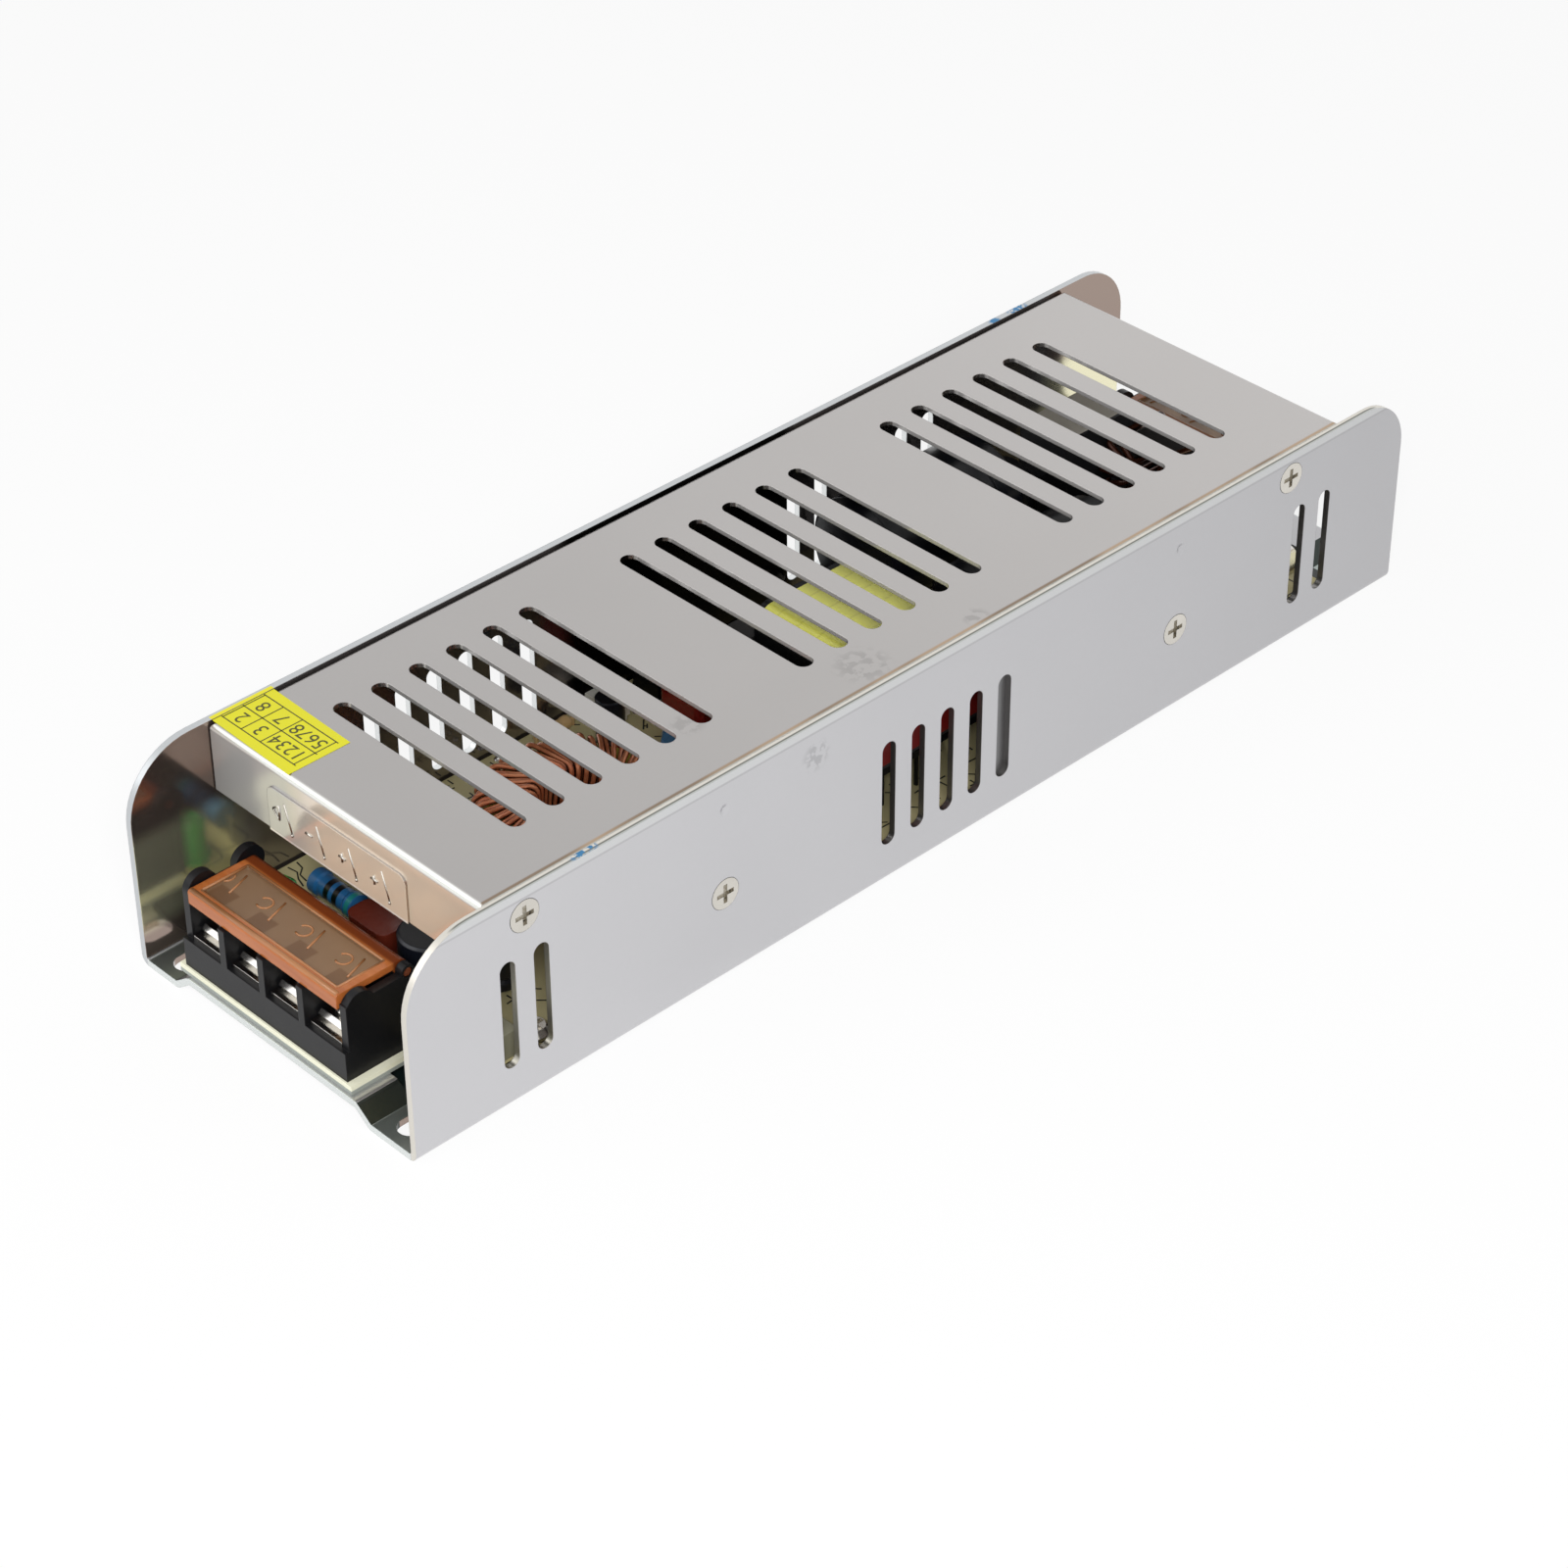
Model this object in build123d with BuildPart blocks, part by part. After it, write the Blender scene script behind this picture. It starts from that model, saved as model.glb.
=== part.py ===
# A slim switching power supply: a folded channel with a slotted lid, a circuit board inside,
# and a screw terminal block with a hinged cover at each end.
# Millimetres. +X runs to the mains input end, +Z is up, the origin is the centre of the underside.
import os

from build123d import *

os.makedirs("parts", exist_ok=True)

# Channel (chassis)
length = 225.0
width = 67.0
height = 39.0
sheet = 1.2
inside_bend = 0.6
front_ear_radius = 12.5
rear_ear_radius = 10.5

# Inner room as a share of the drawn case, so that what is inside keeps its place and shrinks to fit
block_inner_x = length / 2 - 15.3
wall_in = width / 2 - sheet
along = block_inner_x / 97.2
across = wall_in / 32.3
room = min(along, across, height / 39.0, 1.0)


def place(x, y):
    """A place on the board, at the same share of the inner length and width in every case."""
    return (x * along, y * across)


def sized(*sizes):
    """Sizes of a part, smaller where the case is smaller."""
    return tuple(size * room for size in sizes)


# Raised bridges at both ends of the base, which carry the board
board_height = 3.6  # underside of the board above the table
bridge_depth = 8.0
bridge_right = -19.4 * across
bridge_left = 21.2 * across
bridge_slope = 3.2

# Mounting slots in the ledges beside the bridges
mount_spacing_x = length - 10.2
mount_spacing_y = width - 12.4
mount_slot_width = 4.2
mount_slot_length = 6.4

# Tall ventilation slots in the side walls
side_slot_width = 3.0
side_slot_low = 7.5
side_slot_high = height - 11.5
side_slot_pitch = 6.6
right_slots = ((-93.3, 2), (-13.9, 5), (85.5, 2))  # first slot, number of slots
left_slots = ((-65.3, 6), (28.8, 6))
dimple_x = (-49.3 * along, 54.6 * along)
dimple_z = height - 6.4
dimple_radius = 1.1
dimple_depth = 0.4

# Lid (cover)
cover_sheet = 0.8
cover_bend = 1.2
cover_gap = 0.25  # lid to channel wall
cover_below_wall = 0.2  # the lid lies this much below the wall tops
lip_x = length / 2 - 16.1  # outer face of the end lips
lip_drop = 12.6
flange_drop = 8.5
corner_relief = 0.8
top_slot_width = 3.3
top_slot_length = 43.6 * across
top_slot_pitch = 7.6
top_slots_in_group = 6
top_group_pitch = 59.75 * along
top_groups_x = -0.35
top_slots_y = 0.5
panel_width = 33.0 * across  # raised panel on the front lip
panel_y = 1.5
panel_top = height - 4.2
panel_raise = 0.4
panel_corner = 1.6

# Screws
screw_radius = 1.45
screw_hole = 1.55
sink_radius = 2.9
sink_depth = 1.15
case_screw_length = 5.4
pan_radius = 2.8
pan_height = 1.9
pan_bevel = 0.9
cross_arm = 0.8
cross_depth = 0.9
cover_screw_x = (23.0 - length / 2, length / 2 - 30.0)
cover_screw_z = height - 4.8
rectifier_screw_x = -49.5 * along
transistor_screw_x = 54.4 * along
heatsink_screw_z = 16.6

# Board and the film under it
board_thickness = 1.6
board_edge_gap = 0.5
board_end_gap = 0.6
notch_gap = 1.2
film = 0.25
film_gap = 0.5
boss_foot_radius = 4.0
boss_top_radius = 2.9
board_screws_at = (place(-74.0, 27.2), place(-84.1, -27.6), place(28.0, 27.2), place(28.0, -25.2))
board_screw_length = 3.6

# Screw terminal blocks
pole_pitch = 9.5
partition = 1.5
block_depth = 14.4
sill = 5.4
partition_top = 12.4
rear_wall = 2.0
lug_length = 5.6
right_lug_top = 15.3
left_lug_top = 16.8
pivot_in = 1.6  # flap pivot from the block's inner face
pivot_up = 14.0
flap_radius = 1.3
flap_thickness = 1.2
flap_gap = 0.3
flap_rim = 1.7
flap_recess = 0.5
flap_reach = 13.9
flap_skirt = 1.3
pin_radius = 0.8
pin_play = 0.05
screw_in = 8.1  # screw line from the block's inner face
contact_thickness = 0.8
contact_leg = 3.0
clamp_size = 7.0
clamp_front = 4.1  # reach of the lip beyond the screw line
clamp_lip = 0.65
clamp_lip_rise = 0.7
clamp_thickness = 1.0
leg_play = 0.15
dc_poles = 4
dc_y = 3.0 * across
ac_poles = 3
ac_y = 5.0 * across

# Wound parts: core inner radius, core outer radius, core height, wire, turns
winding_play = 0.25
inductor_x, inductor_y = place(-51.5, -3.1)
inductor_core = sized(8.8, 16.2, 12.4)
inductor_wire = 1.4
inductor_turns = 26
choke_x, choke_y = place(88.6, 0.0)
choke_core = sized(5.2, 9.2, 9.0)
choke_wire = 1.2
choke_turns = 7  # on each side
choke_turn_angle = 18.0
choke_base = sized(11.0, 17.0, 1.2)

# Main transformer
transformer_x, transformer_y = place(5.0, -6.5)
core_length = 35.0 * room
core_width = 35.0 * room
core_thickness = 12.0 * room
yoke = 5.5 * room
outer_leg = 4.5 * room
centre_leg = 11.0 * room
core_split = 0.1
core_z = 19.0
winding_half_width = 11.3 * room
winding_half_height = 12.0 * room
winding_corner = 3.0
bobbin_wall = 1.0
bobbin_flange = 1.1
bobbin_gap = 0.2
rail_thickness = 1.4  # pin rail under each end of the core
band_tall = 10.0 * room  # tape round the core
band_thickness = 0.35
band_gap = 0.05
transformer_pins = 6
transformer_pin_pitch = 4.0 * room

# Heatsinks and power devices
bar_thickness = 3.2
bar_top = height - 12.0
rectifier_bar = (-70.0 * along, -30.0 * along)
transistor_bar = (10.6 * along, 74.0 * along)
rectifier_at = (-61.0 * along, -38.0 * along)
transistor_at = (38.0 * along, 67.0 * along)
device_width = 10.0 * room
device_body = 9.0 * room
device_depth = 4.4 * room
device_tab = 1.3
device_tab_height = 6.4 * room
device_lift = 4.0 * room
device_hole_up = 3.6 * room
device_leg_pitch = 2.54
device_screw_length = 4.4

# Capacitors
bulk_radius = 10.8 * room
bulk_length = 32.0 * room
bulk_x = 48.0 * along
bulk_y = (20.5 * across, -7.9 * across)
output_radius = 5.0 * room
output_height = 13.5 * room
output_at = (place(-89.6, -10.6), place(-78.8, -12.8), place(-78.8, -1.6), place(-78.8, 9.6))
small_radius = 2.5 * room
small_height = 9.0 * room
small_at = (place(-24.5, 21.0), place(6.5, 18.6))
disc_radius = 4.3 * room
disc_thickness = 3.6 * room
disc_lift = 1.2
disc_bevel = 1.1 * room
disc_at = (place(-22.5, 5.6), place(94.2, -17.6))

# Boxes on the board: centre x, centre y, size x, size y, height
x_capacitor_box = (*place(86.2, 18.4), *sized(18.6, 10.6, 18.0))
film_boxes = (
    (*place(-90.6, 1.0), *sized(5.4, 9.4, 10.0)),
    (*place(-10.3, 17.0), *sized(5.0, 10.4, 12.0)),
)
bridge_box = (*place(73.2, 4.0), *sized(4.6, 20.0, 15.5))
chip_at = place(-2.0, 26.6)
chip_size = sized(19.3, 6.4, 3.4)
chip_pins = 8
optocouplers_at = (place(-68.0, -21.0), place(-20.0, 27.0))
optocoupler_size = sized(4.8, 6.4, 3.4)
optocoupler_pins = 2
chip_stand = 0.6
trimmer_at = place(-92.0, -26.0)
trimmer_size = sized(6.8, 6.8, 4.8)
rotor_radius = 2.2 * room
rotor_height = 1.0
rotor_stem = 0.9
rotor_stem_length = 2.0
rotor_play = 0.08
rotor_slot = 0.7
led_at = place(-94.0, 20.6)
led_radius = 2.5 * room
led_height = 8.4 * room
thermistor_at = place(77.2, -14.6)
varistor_at = place(72.4, 21.8)
thermistor_radius = 5.6 * room
thermistor_thickness = 4.2 * room
fuse_at = place(83.4, -25.6)
fuse_radius = 2.6 * room
fuse_length = 20.0 * room
fuse_cap = 5.0 * room
fuse_lift = 2.0
resistor_lift = 2.4
resistor_at = place(-87.0, 15.4)
resistor_radius = 2.2 * room
resistor_length = 11.0 * room
snubber_at = place(26.4, -6.6)
snubber_radius = 2.6 * room
snubber_length = 15.0 * room
resistors_at = (place(-64.0, 22.0), place(-64.0, 18.0), place(-30.0, 29.0), place(44.0, -25.0))
resistor_small_radius = 1.2 * room
resistor_small_length = 6.4 * room
lead = 0.4  # lead radius
lead_sides = 8
drive_x, drive_y = place(-24.0, -15.0)
drive_core = sized(14.0, 16.0, 5.0)
drive_winding = sized(8.4, 9.6, 11.0)

# Places that follow from the sizes above
board_top = board_height + board_thickness
cover_top = height - cover_below_wall
cover_half = wall_in - cover_gap
half_length = length / 2
boss_rise = board_height - sheet
wall_right = -wall_in


def save(piece, name):
    """Names a finished piece and writes it."""
    piece.part.label = name
    export_step(piece.part, f"parts/{name}.step")


def on_board(x, y, size_x, size_y, rise, corner=0.6):
    """A moulded box that stands on the board, with softened upper edges."""
    with BuildPart() as box:
        with BuildSketch(Plane((x, y, board_top))):
            Rectangle(size_x, size_y)
        extrude(amount=rise)
        fillet(box.edges().group_by(Axis.Z)[-1], radius=corner)
    return box


# Channel, lid and film
def channel_section(x, reach, raised):
    """Extrudes the folded section from x; a raised section has the bridge pressed up in its base."""
    side = width / 2
    outer = inside_bend + sheet
    if raised:
        folds = (
            (-side, 0),
            (bridge_right - bridge_slope, 0),
            (bridge_right, boss_rise),
            (bridge_left, boss_rise),
            (bridge_left + bridge_slope, 0),
            (side, 0),
        )
        radii = (outer, outer, inside_bend, inside_bend, outer, outer)
    else:
        folds = ((-side, 0), (side, 0))
        radii = (outer, outer)
    with BuildSketch(Plane.YZ.offset(x)) as section:
        with BuildLine():
            FilletPolyline((-side, height), *folds, (side, height), radius=radii)
            offset(amount=sheet, side=Side.LEFT)
        make_face()
    extrude(section.sketch, amount=reach)


def wall_slots(rows, wall_y, inward):
    """Rows of tall slots through one side wall."""
    tall = side_slot_high - side_slot_low
    middle = (side_slot_high + side_slot_low) / 2
    with BuildSketch(Plane.XZ.offset(-wall_y)) as slots:
        for first, number in rows:
            centre = first * along + (number - 1) * side_slot_pitch / 2
            with Locations((centre, middle)):
                with GridLocations(side_slot_pitch, 1, number, 1):
                    SlotOverall(tall, side_slot_width, rotation=90)
    extrude(slots.sketch, amount=inward, mode=Mode.SUBTRACT)


def wall_place(x, z, right):
    """A place on the outside of a side wall, facing outwards."""
    if right:
        return Location((x, -width / 2, z), (90, 0, 0))
    return Location((x, width / 2, z), (-90, 0, 0))


cover_screw_places = [wall_place(x, cover_screw_z, right) for x in cover_screw_x for right in (True, False)]
heatsink_screw_places = [
    wall_place(x, heatsink_screw_z, True) for x in (rectifier_screw_x, transistor_screw_x)
]

with BuildPart() as chassis:
    channel_section(-half_length, bridge_depth, raised=True)
    channel_section(-half_length + bridge_depth, length - 2 * bridge_depth, raised=False)
    channel_section(half_length - bridge_depth, bridge_depth, raised=True)
    with BuildSketch(Plane.XZ) as side_view:
        with Locations((0, height / 2)):
            Rectangle(length, height)
        fillet(side_view.vertices().group_by(Axis.Y)[-1].sort_by(Axis.X)[0], radius=front_ear_radius)
        fillet(side_view.vertices().group_by(Axis.Y)[-1].sort_by(Axis.X)[-1], radius=rear_ear_radius)
    extrude(amount=width / 2, both=True, mode=Mode.INTERSECT)
    wall_slots(right_slots, -width / 2, -sheet)
    wall_slots(left_slots, width / 2, sheet)
    with Locations(*cover_screw_places, *heatsink_screw_places):
        CounterSinkHole(radius=screw_hole, counter_sink_radius=sink_radius, depth=sheet)
    with Locations(*[wall_place(x, dimple_z, True) for x in dimple_x]):
        Cone(0.3, dimple_radius, dimple_depth, align=(Align.CENTER, Align.CENTER, Align.MAX), mode=Mode.SUBTRACT)
    with Locations(*[(x, y, sheet) for x, y in board_screws_at]):
        Cone(boss_foot_radius, boss_top_radius, boss_rise, align=(Align.CENTER, Align.CENTER, Align.MIN))
    with Locations(*[(x, y, 0) for x, y in board_screws_at]):
        Cone(
            boss_foot_radius - sheet,
            boss_top_radius - sheet,
            boss_rise,
            align=(Align.CENTER, Align.CENTER, Align.MIN),
            mode=Mode.SUBTRACT,
        )
        Cylinder(screw_hole, height, align=(Align.CENTER, Align.CENTER, Align.MIN), mode=Mode.SUBTRACT)
    with BuildSketch():
        with GridLocations(mount_spacing_x, mount_spacing_y, 2, 2):
            SlotOverall(mount_slot_length, mount_slot_width)
    extrude(amount=sheet, mode=Mode.SUBTRACT)
save(chassis, "chassis")

with BuildPart() as cover:
    lip_low = cover_top - lip_drop
    with BuildSketch(Plane.XY.offset(lip_low)):
        Rectangle(2 * lip_x, 2 * cover_half)
    extrude(amount=lip_drop)
    fillet(cover.faces().sort_by(Axis.Z)[-1].edges(), radius=cover_bend)
    offset(amount=-cover_sheet, openings=cover.faces().sort_by(Axis.Z)[0])
    with BuildSketch(Plane.XY.offset(lip_low)):
        Rectangle(2 * (lip_x - cover_sheet - corner_relief), 2 * cover_half)
    extrude(amount=lip_drop - flange_drop, mode=Mode.SUBTRACT)
    with BuildSketch(Plane.XY.offset(lip_low)):
        with GridLocations(2 * lip_x - 2 * cover_sheet - corner_relief, 2 * cover_half - cover_sheet, 2, 2):
            Rectangle(corner_relief, cover_sheet)
    extrude(amount=lip_drop - cover_bend, mode=Mode.SUBTRACT)
    with BuildSketch(Plane.XY.offset(cover_top)):
        with Locations((top_groups_x, top_slots_y)):
            with GridLocations(top_group_pitch, 1, 3, 1):
                with GridLocations(top_slot_pitch, 1, top_slots_in_group, 1):
                    SlotOverall(top_slot_length, top_slot_width, rotation=90)
    extrude(amount=-cover_sheet, mode=Mode.SUBTRACT)
    panel_height = panel_top - lip_low
    with BuildSketch(Plane((-lip_x, panel_y, lip_low), x_dir=(0, -1, 0), z_dir=(-1, 0, 0))) as panel:
        with Locations((0, panel_height / 2)):
            Rectangle(panel_width, panel_height)
        fillet(panel.vertices().group_by(Axis.Y)[-1], radius=panel_corner)
    extrude(amount=panel_raise)
    panel_back = Plane((-lip_x + cover_sheet, panel_y, lip_low), x_dir=(0, -1, 0), z_dir=(-1, 0, 0))
    with BuildSketch(panel_back) as hollow:
        with Locations((0, panel_height / 2 - panel_raise / 2)):
            Rectangle(panel_width - 2 * panel_raise, panel_height - panel_raise)
        fillet(hollow.vertices().group_by(Axis.Y)[-1], radius=panel_corner - panel_raise)
    extrude(amount=panel_raise, mode=Mode.SUBTRACT)
    with Locations(*cover_screw_places):
        Cylinder(
            screw_hole,
            sheet + cover_gap + cover_sheet,
            align=(Align.CENTER, Align.CENTER, Align.MAX),
            mode=Mode.SUBTRACT,
        )
save(cover, "cover")

with BuildPart() as insulation_sheet:
    with BuildSketch(Plane.XY.offset(sheet)):
        Rectangle(length - 2 * bridge_depth - 2 * film_gap, 2 * (wall_in - inside_bend - film_gap))
        with Locations(*board_screws_at):
            Circle(boss_foot_radius + film_gap, mode=Mode.SUBTRACT)
    extrude(amount=film)
save(insulation_sheet, "insulation_sheet")


# Screws
def cross_recess(top):
    """Cuts the cross-shaped driver recess down from a screw's top."""
    with BuildSketch(Plane.XY.offset(top)) as cross:
        Rectangle(2.6 * cross_arm + screw_radius, cross_arm)
        Rectangle(cross_arm, 2.6 * cross_arm + screw_radius)
    extrude(cross.sketch, amount=-cross_depth, mode=Mode.SUBTRACT)


def countersunk_screw(reach):
    """A flat-headed screw whose top lies at the origin and whose shank points down."""
    with BuildPart() as screw:
        with BuildSketch(Plane.XZ):
            with BuildLine():
                Polyline(
                    (0, 0),
                    (sink_radius - 0.1, 0),
                    (screw_radius, -sink_depth),
                    (screw_radius, -reach),
                    (0, -reach),
                    close=True,
                )
            make_face()
        revolve(axis=Axis.Z)
        cross_recess(0)
    return screw


def pan_screw(reach):
    """A round-headed screw whose head rests on the origin's plane and whose shank points down."""
    with BuildPart() as screw:
        with BuildSketch():
            Circle(pan_radius)
        extrude(amount=pan_height)
        chamfer(screw.edges().filter_by(GeomType.CIRCLE).sort_by(Axis.Z)[-1], length=pan_bevel)
        with BuildSketch():
            Circle(screw_radius)
        extrude(amount=-reach)
        cross_recess(pan_height)
    return screw


def screw_set(screw, places):
    """Copies of one screw at several places."""
    with BuildPart() as screws:
        with Locations(*places):
            add(screw.part)
    return screws


case_screw = countersunk_screw(case_screw_length)
save(screw_set(case_screw, cover_screw_places), "cover_screws")
save(screw_set(case_screw, heatsink_screw_places), "heatsink_screws")
board_places = [(x, y, board_top) for x, y in board_screws_at]
save(screw_set(pan_screw(board_screw_length), board_places), "board_screws")


# Terminal blocks. u runs outwards from the block's inner face, v along the block, w up from the board.
class Block:
    """Where one terminal block stands: outward direction, centre across the case and number of poles."""

    def __init__(self, out, y, poles):
        self.out = out
        self.y = y
        self.poles = poles
        self.width = poles * pole_pitch + partition

    def plan(self, w=0.0):
        """A level plane with u to its right."""
        return Plane((self.out * block_inner_x, self.y, board_top + w), x_dir=(self.out, 0, 0))

    def side(self, v=0.0):
        """An upright plane across the block, u to its right and w up."""
        return Plane(
            (self.out * block_inner_x, self.y + v, board_top), x_dir=(self.out, 0, 0), z_dir=(0, -self.out, 0)
        )

    def poles_v(self):
        return [(i - (self.poles - 1) / 2) * pole_pitch for i in range(self.poles)]

    def screw_places(self, w):
        centre = self.out * (block_inner_x + screw_in)
        return [(centre, self.y + v, board_top + w) for v in self.poles_v()]


contact_reach = block_depth - rear_wall - 1.0
leg_u = rear_wall + 0.6


def terminal_housing(block):
    """The moulded block: solid foot, rear wall, partitions, and end walls with two lugs each."""
    inner = block.width / 2 - partition
    with BuildPart() as housing:
        with BuildSketch(block.side()):
            with Locations((block_depth / 2, sill / 2)):
                Rectangle(block_depth, sill)
            with Locations((rear_wall / 2, partition_top / 2)):
                Rectangle(rear_wall, partition_top)
        extrude(amount=block.width / 2, both=True)
        for i in range(1, block.poles):
            with BuildSketch(block.side((i - block.poles / 2) * pole_pitch)):
                with Locations((block_depth / 2, partition_top / 2)):
                    Rectangle(block_depth, partition_top)
            extrude(amount=partition / 2, both=True)
        for v, lug_top in ((-1, right_lug_top), (1, left_lug_top)):
            with BuildSketch(block.side(v * (inner + partition / 2))) as end_wall:
                with Locations((block_depth / 2 - 0.4, partition_top / 2 + 0.7)):
                    Rectangle(block_depth - 0.8, partition_top + 1.4)
                with Locations((pivot_in, pivot_up)):
                    Circle(lug_top - pivot_up)
                with Locations((block_depth - 0.8 - lug_length / 2, lug_top - lug_length / 2)):
                    Circle(lug_length / 2)
                    with Locations((0, -lug_length / 4)):
                        Rectangle(lug_length, lug_length / 2)
            extrude(amount=partition / 2, both=True)
        with BuildSketch(block.side()):
            with Locations((pivot_in, pivot_up)):
                Circle(pin_radius + pin_play)
        extrude(amount=block.width / 2, both=True, mode=Mode.SUBTRACT)
        with BuildSketch(block.plan(sill)):
            with Locations(*[(screw_in, v) for v in block.poles_v()]):
                Circle(screw_hole)
        extrude(amount=-sill + 0.8, mode=Mode.SUBTRACT)
        with BuildSketch(block.plan(sill)):
            with Locations(*[(leg_u, v) for v in block.poles_v()]):
                Rectangle(contact_thickness + 2 * leg_play, contact_leg + 2 * leg_play)
        extrude(amount=-sill, mode=Mode.SUBTRACT)
    return housing


def terminal_contacts(block):
    """One plate a pole on the block's floor, with a leg down through the board."""
    with BuildPart() as contacts:
        with BuildSketch(block.plan(sill)):
            with Locations(*[(rear_wall + 0.2 + contact_reach / 2, v) for v in block.poles_v()]):
                Rectangle(contact_reach, pole_pitch - partition - 0.4)
            with Locations(*[(screw_in, v) for v in block.poles_v()]):
                Circle(screw_hole, mode=Mode.SUBTRACT)
        extrude(amount=contact_thickness)
        with BuildSketch(block.plan(sill)):
            with Locations(*[(leg_u, v) for v in block.poles_v()]):
                Rectangle(contact_thickness, contact_leg)
        extrude(amount=-sill - board_thickness - 1.0)
    return contacts


def clamp_plates(block):
    """Square clamp plates under the screws, their outer edge turned up to guide the wire in."""
    rise = sill + contact_thickness
    with BuildPart() as clamps:
        for v in block.poles_v():
            with BuildSketch(block.side(v)):
                with BuildLine():
                    FilletPolyline(
                        (screw_in - clamp_size / 2, rise),
                        (screw_in + clamp_front - clamp_lip, rise),
                        (screw_in + clamp_front, rise + clamp_lip_rise),
                        radius=clamp_lip / 2,
                    )
                    offset(amount=clamp_thickness, side=Side.LEFT)
                make_face()
            extrude(amount=clamp_size / 2, both=True)
        with BuildSketch(block.plan(rise)):
            with Locations(*[(screw_in, v) for v in block.poles_v()]):
                Circle(screw_hole)
        extrude(amount=2 * clamp_thickness, mode=Mode.SUBTRACT)
    return clamps


def terminal_cover(block):
    """The hinged flap: round hinge edge, rimmed panel, turned-down front, and a pin at each end."""
    half = block.width / 2 - partition - flap_gap
    flap_top = pivot_up + flap_radius
    with BuildPart() as flap:
        with BuildSketch(block.side()):
            with Locations((pivot_in, pivot_up)):
                Circle(flap_radius)
            with Locations(((pivot_in + flap_reach) / 2, flap_top - flap_thickness / 2)):
                Rectangle(flap_reach - pivot_in, flap_thickness)
            with Locations((flap_reach - flap_skirt / 2, flap_top - flap_radius)):
                Rectangle(flap_skirt, 2 * flap_radius)
        extrude(amount=half, both=True)
        outer_edge = flap.faces().sort_by(Axis.X)[-1 if block.out > 0 else 0].edges()
        fillet(outer_edge.filter_by(Axis.Y).sort_by(Axis.Z)[-1], radius=0.6)
        panel_in = pivot_in + flap_rim
        panel_out = flap_reach - flap_rim
        with BuildSketch(block.plan(flap_top)):
            with Locations(((panel_in + panel_out) / 2, 0)):
                RectangleRounded(panel_out - panel_in, 2 * (half - flap_rim), 0.8)
        extrude(amount=-flap_recess, mode=Mode.SUBTRACT)
        with BuildSketch(block.side()):
            with Locations((pivot_in, pivot_up)):
                Circle(pin_radius)
        extrude(amount=half + flap_gap + partition - 0.2, both=True)
    return flap


terminal_screw = pan_screw(sill + contact_thickness + clamp_thickness - 1.6)
dc_block = Block(-1, dc_y, dc_poles)
ac_block = Block(1, ac_y, ac_poles)
for block, name in ((dc_block, "dc"), (ac_block, "ac")):
    save(terminal_housing(block), f"{name}_terminal_housing")
    save(terminal_contacts(block), f"{name}_terminal_contacts")
    save(clamp_plates(block), f"{name}_clamp_plates")
    screw_rest = sill + contact_thickness + clamp_thickness
    save(screw_set(terminal_screw, block.screw_places(screw_rest)), f"{name}_terminal_screws")
    save(terminal_cover(block), f"{name}_terminal_cover")

# Circuit board: notched at its corners so that the mounting slots can be reached
with BuildPart() as circuit_board:
    with BuildSketch(Plane.XY.offset(board_height)):
        Rectangle(length - 2 * board_end_gap, 2 * (wall_in - board_edge_gap))
        for block in (dc_block, ac_block):
            for side in (-1, 1):
                tab_edge = block.y + side * (block.width / 2 + notch_gap)
                corner = side * width / 2
                with Locations((block.out * (half_length + block_inner_x) / 2, (tab_edge + corner) / 2)):
                    Rectangle(half_length - block_inner_x, abs(corner - tab_edge), mode=Mode.SUBTRACT)
            centre = block.out * (block_inner_x + leg_u)
            with Locations(*[(centre, block.y + v) for v in block.poles_v()]):
                hole = contact_thickness + 2 * leg_play
                Rectangle(hole, contact_leg + 2 * leg_play, mode=Mode.SUBTRACT)
        with Locations(*board_screws_at):
            Circle(screw_hole, mode=Mode.SUBTRACT)
    extrude(amount=board_thickness)
save(circuit_board, "circuit_board")


# Wound rings
def ring_core(plane, core):
    """A ring core centred on the plane, its axis along the plane's normal."""
    inner, outer, tall = core
    with BuildPart() as ring:
        with BuildSketch(plane):
            Circle(outer)
            Circle(inner, mode=Mode.SUBTRACT)
        extrude(amount=tall / 2, both=True)
        chamfer(ring.edges().filter_by(GeomType.CIRCLE), length=1.0)
    return ring


def ring_turns(plane, core, wire, angles):
    """Square turns of wire around a ring core, one at each angle."""
    inner, outer, tall = core
    middle = (inner + outer) / 2
    wide = outer - inner + 2 * winding_play
    deep = tall + 2 * winding_play
    with BuildPart() as turns:
        for angle in angles:
            radial = plane.x_dir.rotate(Axis(plane.origin, plane.z_dir), angle)
            with BuildSketch(Plane(plane.origin, x_dir=radial, z_dir=plane.z_dir.cross(radial))) as turn:
                with Locations((middle, 0)):
                    Rectangle(wide + 2 * wire, deep + 2 * wire)
                chamfer(turn.vertices(), length=wire)
                with Locations((middle, 0)):
                    Rectangle(wide, deep, mode=Mode.SUBTRACT)
            extrude(amount=wire / 2, both=True)
    return turns


inductor_rise = board_top + inductor_wire + winding_play + inductor_core[2] / 2
inductor_plane = Plane((inductor_x, inductor_y, inductor_rise))
inductor_angles = [360 * i / inductor_turns for i in range(inductor_turns)]
save(ring_core(inductor_plane, inductor_core), "output_inductor_core")
save(ring_turns(inductor_plane, inductor_core, inductor_wire, inductor_angles), "output_inductor_winding")

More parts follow.
